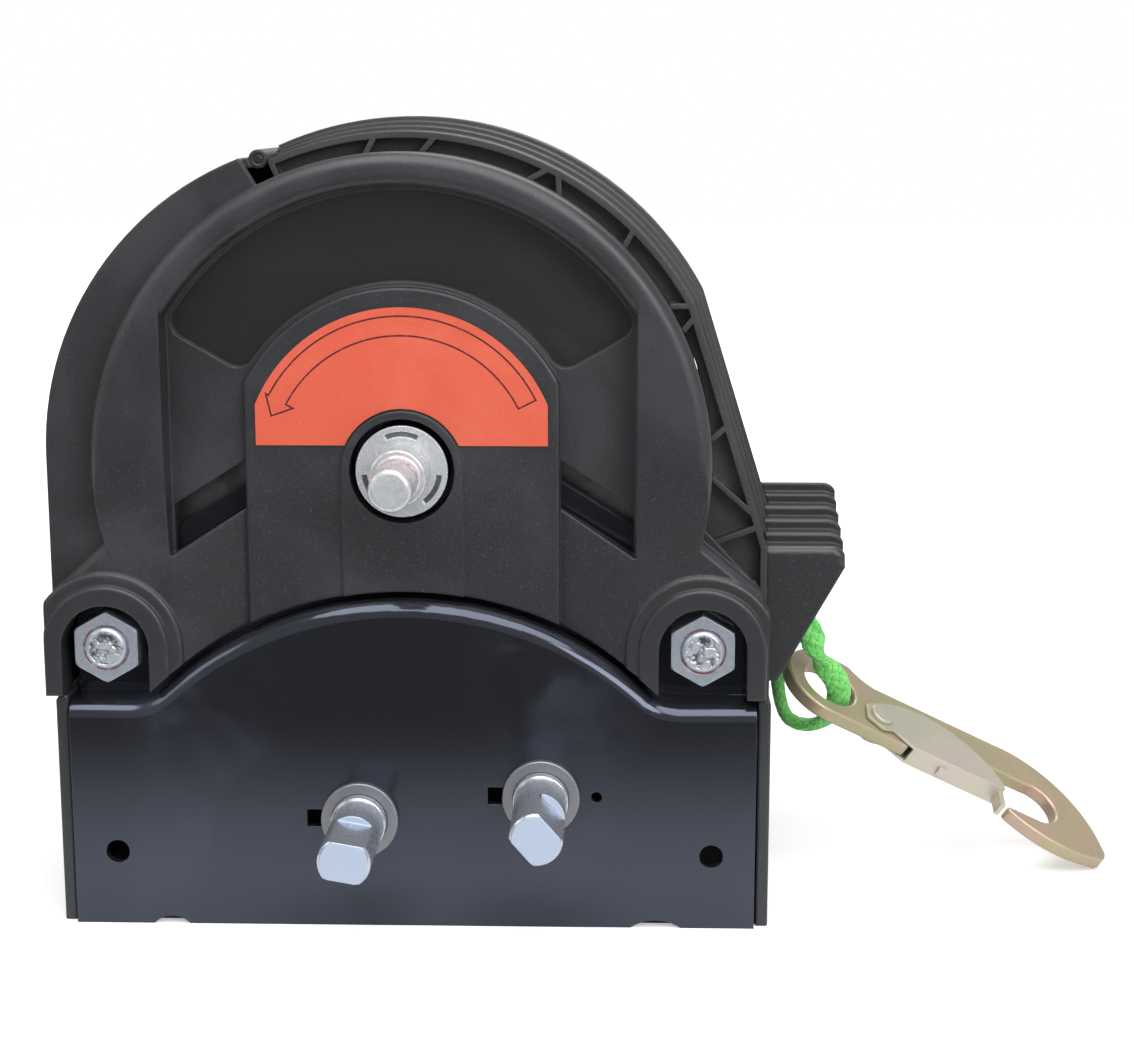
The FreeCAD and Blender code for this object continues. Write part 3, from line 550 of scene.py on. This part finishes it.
def chromate(name, s):
    c = cloudSet
    mat, tree, shade = newMaterial(name, s["gold"], s["roughness"][0], s["metal"])
    rosy = fillGroup(tree, smudge, {"Size": c["rose"]})
    other = fillGroup(tree, smudge, {"Size": c["green"]})
    tinted = mixColour(tree, rosy.outputs["Mask"], s["gold"], s["rose"])
    thin = math2(tree, "MULTIPLY", other.outputs["Mask"], c["greenShare"])
    join(tree, mixColour(tree, thin, tinted, s["green"]), shade.inputs["Base Color"])
    join(tree, ramp(tree, other.outputs["Fine"], *c["rough"], *s["roughness"]), shade.inputs["Roughness"])
    bump(tree, shade, other.outputs["Fine"], *c["depth"])
    return mat


labelSet = {
    "red": (0.70, 0.106, 0.056),
    "faded": (0.72, 0.130, 0.074),
    "pale": (0.76, 0.18, 0.11),
    "roughness": 0.42,
    "marks": 30.0,
    "grain": {"Size": 1200.0, "Speckle": 0.4},
    "depth": (0.15, 0.00003),
    "ink": (0.10, 0.012, 0.012),
    "inkRoughness": 0.5,
    "inkGrain": {"Size": 1500.0, "Speckle": 0.6},
}


def labelFilm():
    s = labelSet
    mat, tree, shade = newMaterial("labelFilm", s["red"], s["roughness"])
    marks = fillGroup(tree, smudge, {"Size": s["marks"]})
    skin = fillGroup(tree, grain, s["grain"])
    even = mixColour(tree, marks.outputs["Mask"], s["red"], s["faded"])
    join(tree, mixColour(tree, skin.outputs["Mask"], even, s["pale"]), shade.inputs["Base Color"])
    bump(tree, shade, skin.outputs["Height"], *s["depth"])
    return mat


def ink():
    s = labelSet
    mat, tree, shade = newMaterial("ink", s["ink"], s["inkRoughness"])
    skin = fillGroup(tree, grain, s["inkGrain"])
    join(tree, mixColour(tree, skin.outputs["Mask"], s["ink"], s["red"]), shade.inputs["Base Color"])
    return mat


braidSet = {
    "colour": (0.25, 0.86, 0.20),
    "deep": (0.12, 0.62, 0.095),
    "pale": (0.46, 0.94, 0.38),
    # painted shade: darker green where the braid lies low between its strands
    "gap": (0.050, 0.32, 0.042),
    "gapWidth": (0.05, 0.45),
    "roughness": 0.62,
    "sheen": 0.35,
    "grain": {"Size": 2600.0, "Speckle": 1.0},
    "marks": 160.0,
    "depth": (0.6, 0.00018),
}


def braid():
    s = braidSet
    mat, tree, shade = newMaterial("braid", s["colour"], s["roughness"])
    fibre = fillGroup(tree, grain, s["grain"])
    marks = fillGroup(tree, smudge, {"Size": s["marks"]})
    toned = mixColour(tree, marks.outputs["Mask"], s["colour"], s["deep"])
    bright = mixColour(tree, fibre.outputs["Mask"], toned, s["pale"])
    # Where the braid lies low between the strands, its colour is darkened: painted shade
    weave = addNode(tree, "ShaderNodeAttribute", attribute_name="weave")
    strandShade = ramp(tree, weave.outputs["Fac"], *s["gapWidth"], 1.0, 0.0)
    join(tree, mixColour(tree, strandShade, bright, s["gap"]), shade.inputs["Base Color"])
    shade.inputs["Sheen Weight"].default_value = s["sheen"]
    bump(tree, shade, fibre.outputs["Height"], *s["depth"])
    return mat


plasticMat = plastic("plastic", plasticSet)
panelMat = plastic("panelPlastic", panelSet)
paintMat = glossPaint()
hoodLitMat = plastic("hoodPlasticLit", hoodLitSet)
zincMat = zinc("zinc", zincSet)
nutMat = zinc("nutZinc", zincSet, locked=True)
driveMat = zinc("driveSteel", driveSet)
washerMat = zinc("brightZinc", brightSet)
shaftMat = zinc("shaftSteel", brightSet, (0.0, drumZ * mm), painted=True)
sawnMat = sawnEnd()
shaftEndMat = plainMetal("shaftEnd", endSet)
gearMat = plainMetal("gearSteel", gearSet)
sinterMat = sintered()
chromateMat = chromate("yellowChromate", chromateSet)
leafMat = chromate("paleChromate", leafSet)
labelMat = labelFilm()
inkMat = ink()
braidMat = braid()
print("materials made")


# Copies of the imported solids, with welded faces, small rounded edges and smooth shading
meshSet = {
    "weld": 2e-6,
    "flat": 0.4,
    "sharp": 38.0,
    "segments": 2,
}


def weldedCopy(node, name, flatten):
    obj = nodes[node].copy()
    obj.data = nodes[node].data.copy()
    obj.name = name
    obj.data.name = name
    for key in list(obj.keys()):
        del obj[key]
    obj.parent = None
    obj.matrix_world = Matrix.Identity(4)
    bpy.context.collection.objects.link(obj)
    bm = bmesh.new()
    bm.from_mesh(obj.data)
    bmesh.ops.remove_doubles(bm, verts=bm.verts, dist=meshSet["weld"])
    if flatten:
        limit = math.radians(meshSet["flat"])
        bmesh.ops.dissolve_limit(bm, angle_limit=limit, use_dissolve_boundaries=False,
                                 verts=bm.verts, edges=bm.edges, delimit={"NORMAL"})
    return obj, bm


def closeMesh(obj, bm, material, patch):
    limit = math.radians(meshSet["sharp"])
    bm.normal_update()
    for face in bm.faces:
        face.smooth = True
        face.material_index = 1 if patch and patch[0](face) else 0
    for edge in bm.edges:
        edge.smooth = edge.is_manifold and edge.calc_face_angle(0.0) < limit
    obj.data.materials.clear()
    obj.data.materials.append(material)
    if patch:
        obj.data.materials.append(patch[1])
    bm.to_mesh(obj.data)  # last, because clearing the slots resets the faces' own numbers
    bm.free()


def finishEdges(obj, width):
    if width:
        edge = obj.modifiers.new("edges", "BEVEL")
        edge.width = width * mm
        edge.segments = meshSet["segments"]
        edge.limit_method = "ANGLE"
        edge.angle_limit = math.radians(meshSet["sharp"])
        edge.use_clamp_overlap = False
        edge.miter_outer = "MITER_ARC"
    weigh = obj.modifiers.new("shading", "WEIGHTED_NORMAL")
    weigh.keep_sharp = True


# The mesh tools give edges and faces in an order that changes from run to run, so both are sorted here
def steadyOrder(bm):
    bm.verts.index_update()
    count = len(bm.verts)
    for elements in (bm.edges, bm.faces):
        elements.sort(key=lambda e: min(v.index for v in e.verts) * count + max(v.index for v in e.verts))


def newPiece(name, bm, material):
    mesh = bpy.data.meshes.new(name)
    steadyOrder(bm)
    bm.to_mesh(mesh)
    bm.free()
    obj = bpy.data.objects.new(name, mesh)
    bpy.context.collection.objects.link(obj)
    mesh.materials.append(material)
    return obj


# Faces of a node that look different from the rest: the fan panel's floor, the ends of bolts and shafts,
# and the floors of the washer's slots
patchSet = {
    "fanRadii": (52.0, 77.8),
    "fanFloor": 9.6,
    "fanNear": 0.2,
    "fanFacing": 0.99,
    "boltEnd": 2.0,
    "slotY": (4.4, 5.3),
    "shaftEnd": -9.0,
    "facing": 0.5,
    "shaftFacing": 0.9,
}


def spotOf(face):
    spot = face.calc_center_median() / mm
    return spot.x, spot.y + midY, spot.z


def isFanFloor(face):
    s = patchSet
    x, y, z = spotOf(face)
    flat = abs(face.normal.y) > s["fanFacing"]
    deep = min(abs(y - s["fanFloor"]), abs(2 * midY - y - s["fanFloor"])) < s["fanNear"]
    reach = math.hypot(x, z - archZ)
    return flat and deep and s["fanRadii"][0] < reach < s["fanRadii"][1]


def isSawn(face):
    return face.normal.y < -patchSet["facing"] and spotOf(face)[1] < patchSet["boltEnd"]


def isWasherSlot(face):
    low, high = patchSet["slotY"]
    return face.normal.y < -patchSet["facing"] and low < spotOf(face)[1] < high


def isShaftEnd(face):
    return face.normal.y < -patchSet["shaftFacing"] and spotOf(face)[1] < patchSet["shaftEnd"]


patches = {
    "front_cover": (isFanFloor, panelMat),
    "rear_cover": (isFanFloor, panelMat),
    "left_tie_bolt": (isSawn, sawnMat),
    "right_tie_bolt": (isSawn, sawnMat),
    "retaining_washer": (isWasherSlot, gearMat),
    "left_drive_shaft": (isShaftEnd, shaftEndMat),
    "right_drive_shaft": (isShaftEnd, shaftEndMat),
}

# Each node: its material, its finish in the record, the radius of its edges, and its name here.
# Where the radius is 0, the mesh keeps its edges and the material rounds them.
dress = {
    "front_plate": (paintMat, "black_steel", 0.0, "frontPlate"),
    "rear_plate": (paintMat, "black_steel", 0.0, "rearPlate"),
    "front_cover": (plasticMat, "plastic", 0.0, "frontCover"),
    "rear_cover": (plasticMat, "plastic", 0.0, "rearCover"),
    "lower_casing": (plasticMat, "plastic", 0.5, "lowerCasing"),
    "label": (labelMat, "label_print", 0.0, "labelHalfRing"),
    "hood_shell": (hoodLitMat, "plastic", 0.0, "hoodShell"),
    "snout": (plasticMat, "plastic", 0.0, "snoutBlock"),
    "hinge_pin": (paintMat, "black_steel", 0.2, "hingePin"),
    "drum_gear": (gearMat, "gear_steel", 0.0, "drumGear"),
    "drum_flange": (gearMat, "gear_steel", 0.4, "drumFlange"),
    "drum_core": (gearMat, "gear_steel", 0.0, "drumCore"),
    "rope_winding": (braidMat, "braid", 0.0, "ropeWinding"),
    "drum_shaft": (shaftMat, "zinc", 0.5, "drumShaft"),
    "retaining_washer": (washerMat, "zinc", 0.15, "retainingWasher"),
    "drum_bushing_front": (sinterMat, "sintered", 0.3, "drumBushingFront"),
    "drum_bushing_rear": (sinterMat, "sintered", 0.3, "drumBushingRear"),
    "left_drive_shaft": (driveMat, "zinc", 0.25, "leftDriveShaft"),
    "right_drive_shaft": (driveMat, "zinc", 0.25, "rightDriveShaft"),
    "left_pinion": (gearMat, "gear_steel", 0.0, "leftPinion"),
    "right_pinion": (gearMat, "gear_steel", 0.0, "rightPinion"),
    "left_bushing_front": (sinterMat, "sintered", 0.35, "leftBushingFront"),
    "right_bushing_front": (sinterMat, "sintered", 0.35, "rightBushingFront"),
    "left_bushing_rear": (sinterMat, "sintered", 0.35, "leftBushingRear"),
    "right_bushing_rear": (sinterMat, "sintered", 0.35, "rightBushingRear"),
    "left_tie_bolt": (zincMat, "zinc", 0.25, "leftTieBolt"),
    "right_tie_bolt": (zincMat, "zinc", 0.25, "rightTieBolt"),
    "left_nut": (nutMat, "zinc", 0.0, "leftNut"),
    "right_nut": (nutMat, "zinc", 0.0, "rightNut"),
    "left_spacer": (zincMat, "zinc", 0.3, "leftSpacer"),
    "right_spacer": (zincMat, "zinc", 0.3, "rightSpacer"),
    "hook_body": (chromateMat, "chromate", 0.7, "hookBody"),
    "hook_latch": (leafMat, "chromate", 0.15, "hookLatch"),
    "hook_rivet": (leafMat, "chromate", 0.3, "hookRivet"),
}


# The tip under the snout is moved outwards, and the ends of its steps are drawn out to one flat side: from
# the first of three distances on, what reached the second reaches the third
snoutSet = {
    "tipUnder": 69.7,
    "tipFrom": 106.0,
    "shift": 2.1,
    "sideFrom": 104.0,
    "side": (124.0, 126.9, 128.0),
}


def slopeSnout(bm):
    s = snoutSet
    low = [v for v in bm.verts if v.co.z < s["tipUnder"] * mm and v.co.x > s["tipFrom"] * mm]
    bmesh.ops.translate(bm, vec=(s["shift"] * mm, 0, 0), verts=low)
    start, end, side = (value * mm for value in s["side"])
    for vert in bm.verts:
        if vert.co.z > s["sideFrom"] * mm and vert.co.x > start:
            vert.co.x = min(start + (vert.co.x - start) * (side - start) / (end - start), side)


def dressNodes():
    made = {}
    for node, (material, finish, edge, name) in dress.items():
        obj, bm = weldedCopy(node, name, edge > 0)
        if node == "snout":
            slopeSnout(bm)
        if node == "rope_winding":
            windRope(bm)
        closeMesh(obj, bm, material, patches.get(node))
        finishEdges(obj, edge)
        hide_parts(node)
        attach(obj, nodes[node]["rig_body"])
        made[node] = obj
    return made


# The outlined arrow that is printed along the half-ring
arrowSet = {
    "outer": 42.8,
    "inner": 36.8,
    "start": 26.0,
    "end": 151.5,
    "head": (44.0, 34.2),
    "tip": (39.6, 159.5),
    "line": 0.5,
    "face": 5.08,
    "film": 0.04,
    "steps": 40,
}


def onRing(radius, angle):
    turn = math.radians(angle)
    return place(radius * math.cos(turn), arrowSet["face"], archZ + radius * math.sin(turn))


def makeArrow():
    s = arrowSet
    bm = bmesh.new()
    centre = place(0, s["face"], archZ)
    sweep = math.radians(s["end"] - s["start"])
    ends = []
    for radius in (s["outer"], s["inner"]):
        first = bm.verts.new(onRing(radius, s["start"]))
        swept = bmesh.ops.spin(bm, geom=[first], cent=centre, axis=(0, -1, 0), angle=sweep,
                               steps=s["steps"], use_duplicate=False)
        last = [g for g in swept["geom_last"] if isinstance(g, bmesh.types.BMVert)][0]
        ends.append((first, last))
    head = [bm.verts.new(onRing(s["head"][0], s["end"])), bm.verts.new(onRing(*s["tip"])),
            bm.verts.new(onRing(s["head"][1], s["end"]))]
    (outerStart, outerEnd), (innerStart, innerEnd) = ends
    chain = [outerEnd, *head, innerEnd]
    for a, b in [*zip(chain, chain[1:]), (innerStart, outerStart)]:
        bm.edges.new((a, b))
    bmesh.ops.contextual_create(bm, geom=bm.edges[:])
    bmesh.ops.inset_region(bm, faces=bm.faces[:], thickness=s["line"] * mm, use_boundary=True,
                           use_even_offset=True)
    inside = max(bm.faces, key=lambda face: len(face.verts))
    bmesh.ops.delete(bm, geom=[inside], context="FACES_ONLY")
    bmesh.ops.solidify(bm, geom=bm.faces[:], thickness=s["film"] * mm)
    bmesh.ops.recalc_face_normals(bm, faces=bm.faces)
    arrow = newPiece("labelArrow", bm, inkMat)
    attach(arrow, nodes["label"]["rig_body"])


# The rope: its route in the drawing's millimetres, then its flat braid around that line
ropeSet = {
    "route": ((59.2, 50, 170.9), (87, 50, 129), (110.5, 50, 90), (120.5, 50, 79), (123.5, 51, 68.5),
              (131, 53, 60), (130, 58, 49.5), (124, 62, 43.5), (115.5, 64, 44.5), (112.5, 63.5, 52.5),
              (111.5, 62, 64), (109, 60, 84)),
    "order": 3,
    "resolution": 60,
    "side": (0, 1, 0),
    "halfWidth": 3.8,
    "halfThick": 2.05,
    "slackEvery": 13.0,
    "slack": (0.25, -0.2),  # how far the width and the thickness come and go
    "strands": 14,
    "pitch": 24.0,
    "relief": 0.40,
    "level": 0.6,
    "length": 0.2,
    "diameter": 0.0070,
    "around": 84,
    "step": 0.35,
    "turns": ((114, 127, -175), (142, 153, -35)),  # where along the route it turns over, and by how much
    "turnAtStart": 85,
}


def ropeLine():
    curve = bpy.data.curves.new("ropeRoute", "CURVE")
    curve.dimensions = "3D"
    curve.resolution_u = ropeSet["resolution"]
    spline = curve.splines.new("NURBS")
    spline.points.add(len(ropeSet["route"]) - 1)
    for point, spot in zip(spline.points, ropeSet["route"]):
        point.co = (*place(*spot), 1)
    spline.order_u = ropeSet["order"]
    spline.use_endpoint_u = True
    holder = bpy.data.objects.new("ropeRoute", curve)
    bpy.context.collection.objects.link(holder)
    bpy.context.view_layer.update()
    mesh = bpy.data.meshes.new_from_object(holder)
    line = [v.co.copy() for v in mesh.vertices]
    bpy.data.objects.remove(holder)
    bpy.data.meshes.remove(mesh)
    return line


def spacedLine(line, step):
    out = [line[0]]
    carried = 0.0
    for a, b in zip(line, line[1:]):
        run = (b - a).length
        if run == 0:
            continue
        at = step - carried
        while at < run:
            out.append(a.lerp(b, at / run))
            at += step
        carried = run - (at - step)
    return out


# How high the braid stands, 0 to 1, where strands going one way pass over those going the other way
def braidHeight(turn, along):
    half = ropeSet["strands"] * 0.5
    a = half * turn + along / ropeSet["pitch"] * half
    b = half * turn - along / ropeSet["pitch"] * half
    over = (math.floor(a) + math.floor(b)) % 2 == 0
    across = a if over else b
    return math.sin(math.pi * (across - math.floor(across)))


# The top layer of the rope on the drum, its coils side by side
windingSet = {
    "radius": 65.9,
    "layRadius": 66.027,  # 121 crossings of the braid fit round it, so that it closes on itself
    "inner": 34.05,
    "coils": 9,
    "across": 7,
    "steps": 480,
    "groove": 1.9,
    "relief": 0.4,
    "sideWeave": 0.5,
}


def windRope(bm):
    s = windingSet
    low = min(v.co.y for v in bm.verts)
    high = max(v.co.y for v in bm.verts)
    bm.clear()
    weave = bm.verts.layers.float.new("weave")
    count = s["coils"] * s["across"]
    rings = []
    for step in range(s["steps"]):
        angle = 2 * math.pi * step / s["steps"]
        spots = [(low, s["inner"], s["sideWeave"])]
        for index in range(count + 1):
            part = (index % s["across"]) / s["across"]
            full = math.sqrt(1 - (2 * part - 1) ** 2)
            height = braidHeight(part / 2, angle * s["layRadius"])
            reach = s["radius"] - s["groove"] * (1 - full) - s["relief"] * (1 - height) * full
            spots.append((low + (high - low) * index / count, reach, height))
        spots.append((high, s["inner"], s["sideWeave"]))
        ring = []
        for y, reach, height in spots:
            x = reach * math.sin(angle) * mm
            z = (drumZ + reach * math.cos(angle)) * mm
            vert = bm.verts.new((x, y, z))
            vert[weave] = height
            ring.append(vert)
        rings.append(ring)
    for ring, following in zip(rings, rings[1:] + rings[:1]):
        for index in range(len(ring)):
            bm.faces.new((ring[index - 1], ring[index], following[index], following[index - 1]))
    bmesh.ops.recalc_face_normals(bm, faces=bm.faces)


# The braid is flat, and turns over twice on its way round the hook
def ropeRoll(along):
    roll = ropeSet["turnAtStart"]
    for start, end, turn in ropeSet["turns"]:
        share = min(max((along - start) / (end - start), 0.0), 1.0)
        roll += turn * share * share * (3 - 2 * share)
    return math.radians(roll)


def makeRope():
    s = ropeSet
    spots = spacedLine(ropeLine(), s["step"] * mm)
    bm = bmesh.new()
    weave = bm.verts.layers.float.new("weave")
    ring = bmesh.ops.create_circle(bm, segments=s["around"], radius=mm)["verts"]
    edges = list(bm.edges)
    side = Vector(s["side"])
    for index, spot in enumerate(spots):
        if index:
            grown = bmesh.ops.extrude_edge_only(bm, edges=edges)["geom"]
            ring = [g for g in grown if isinstance(g, bmesh.types.BMVert)]
            edges = [g for g in grown if isinstance(g, bmesh.types.BMEdge) and g.is_boundary]
            edges = [e for e in edges if e.verts[0] in ring and e.verts[1] in ring]
        heading = spots[min(index + 1, len(spots) - 1)] - spots[max(index - 1, 0)]
        heading.normalize()
        side = (side - heading * side.dot(heading)).normalized()
        over = heading.cross(side)
        along = index * s["step"]
        roll = ropeRoll(along)
        across = side * math.cos(roll) + over * math.sin(roll)
        through = over * math.cos(roll) - side * math.sin(roll)
        slack = noise.noise(Vector((along / s["slackEvery"], 0.3, 0.7)))
        wide = s["halfWidth"] + s["slack"][0] * slack
        thick = s["halfThick"] + s["slack"][1] * slack
        for step, vert in enumerate(ring):
            turn = step / len(ring)
            angle = 2 * math.pi * turn
            vert[weave] = braidHeight(turn, along)
            lift = 1 + s["relief"] * (vert[weave] - s["level"]) / wide
            spread = across * math.cos(angle) * wide + through * math.sin(angle) * thick
            vert.co = spot + spread * lift * mm
    for loop in (bm.verts[:s["around"]], ring):
        bmesh.ops.contextual_create(bm, geom=list(loop))
    bmesh.ops.recalc_face_normals(bm, faces=bm.faces)
    for face in bm.faces:
        face.smooth = True
    rope = newPiece("braidedRope", bm, braidMat)
    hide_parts("rope")
    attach(rope, nodes["rope"]["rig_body"])


# Floor, world and lamps
stageSet = {
    "paper": (0.86, 0.86, 0.86),
    "card": (0.004, 0.004, 0.005),
    "roughness": 0.9,
    "glow": (0.42, 1.0),  # what the camera sees of the floor's own light, near the winch and far from it
    "glowFrom": (0.35, 1.3),
    "around": 0.34,
    "floorSize": 8.0,
    "cardPlace": (-0.9, 0.9, -1.6, -0.065),
    "cardFade": (-0.27, -0.085),
    "cardHeight": 0.002,
}

lampSet = {
    "key": {"place": (0.08, -0.45, 1.15), "aim": (0.02, 0, 0.1), "size": 1.3, "power": 13.0},
    "front": {"place": (0.95, -1.2, 0.8), "aim": (0, 0, 0.12), "size": 0.9, "power": 9.0},
    "left": {"place": (-1.1, -0.5, 0.8), "aim": (0, 0, 0.12), "size": 0.6, "power": 1.5},
    "back": {"place": (0.2, 1.0, 1.0), "aim": (0, 0, 0.15), "size": 0.8, "power": 4.0},
}


def addSheet(name, low, high, height, material):
    bm = bmesh.new()
    bmesh.ops.create_grid(bm, x_segments=1, y_segments=1, size=0.5)
    bmesh.ops.scale(bm, vec=(high[0] - low[0], high[1] - low[1], 1), verts=bm.verts)
    middle = Vector(((low[0] + high[0]) / 2, (low[1] + high[1]) / 2, height))
    bmesh.ops.translate(bm, vec=middle, verts=bm.verts)
    sheet = newPiece(name, bm, material)
    return sheet


def addFloor():
    s = stageSet
    mat, tree, shade = newMaterial("floorPaper", s["paper"], s["roughness"])
    shade.inputs["Specular IOR Level"].default_value = 0.0
    shade.inputs["Emission Color"].default_value = (1, 1, 1, 1)
    away = addNode(tree, "ShaderNodeVectorMath", operation="LENGTH")
    join(tree, objectSpot(tree), away.inputs[0])
    glow = ramp(tree, away.outputs["Value"], *s["glowFrom"], *s["glow"])
    path = addNode(tree, "ShaderNodeLightPath")
    seen = math2(tree, "MULTIPLY", path.outputs["Is Camera Ray"], glow)
    join(tree, seen, shade.inputs["Emission Strength"])
    half = s["floorSize"] / 2
    addSheet("floorPaper", (-half, -half), (half, half), 0.0, mat)


# A dark card on the floor before the winch, which only its reflections show
def addCard():
    s = stageSet
    mat, tree, shade = newMaterial("darkCard", s["card"], s["roughness"])
    spot = split(tree, objectSpot(tree))
    join(tree, ramp(tree, spot["Y"], *s["cardFade"], 1.0, 0.0), shade.inputs["Alpha"])
    left, right, near, far = s["cardPlace"]
    card = addSheet("darkCard", (left, near), (right, far), s["cardHeight"], mat)
    card.visible_camera = False
    card.visible_diffuse = False
    card.visible_shadow = False
    card.visible_transmission = False


def setWorld():
    world = bpy.data.worlds.new("studio")
    bpy.context.scene.world = world
    world.use_nodes = True
    tree = world.node_tree
    path = addNode(tree, "ShaderNodeLightPath")
    lit = addNode(tree, "ShaderNodeMapRange", {"To Min": stageSet["around"]})
    join(tree, path.outputs["Is Camera Ray"], lit.inputs["Value"])
    back = tree.nodes["Background"]
    back.inputs["Color"].default_value = (1, 1, 1, 1)
    join(tree, lit.outputs["Result"], back.inputs["Strength"])


def addLamps():
    for name, lamp in lampSet.items():
        data = bpy.data.lights.new(name, "AREA")
        data.shape = "DISK"
        data.size = lamp["size"]
        data.energy = lamp["power"]
        obj = bpy.data.objects.new(name, data)
        obj.location = lamp["place"]
        way = Vector(lamp["aim"]) - Vector(lamp["place"])
        obj.rotation_euler = way.to_track_quat("-Z", "Y").to_euler()
        bpy.context.collection.objects.link(obj)


setCamera()
dressed = dressNodes()
print("pieces dressed")
makeRope()
print("rope made")
makeArrow()
print("label printed")
addFloor()
addCard()
setWorld()
addLamps()
print("stage set")

bpy.context.view_layer.update()
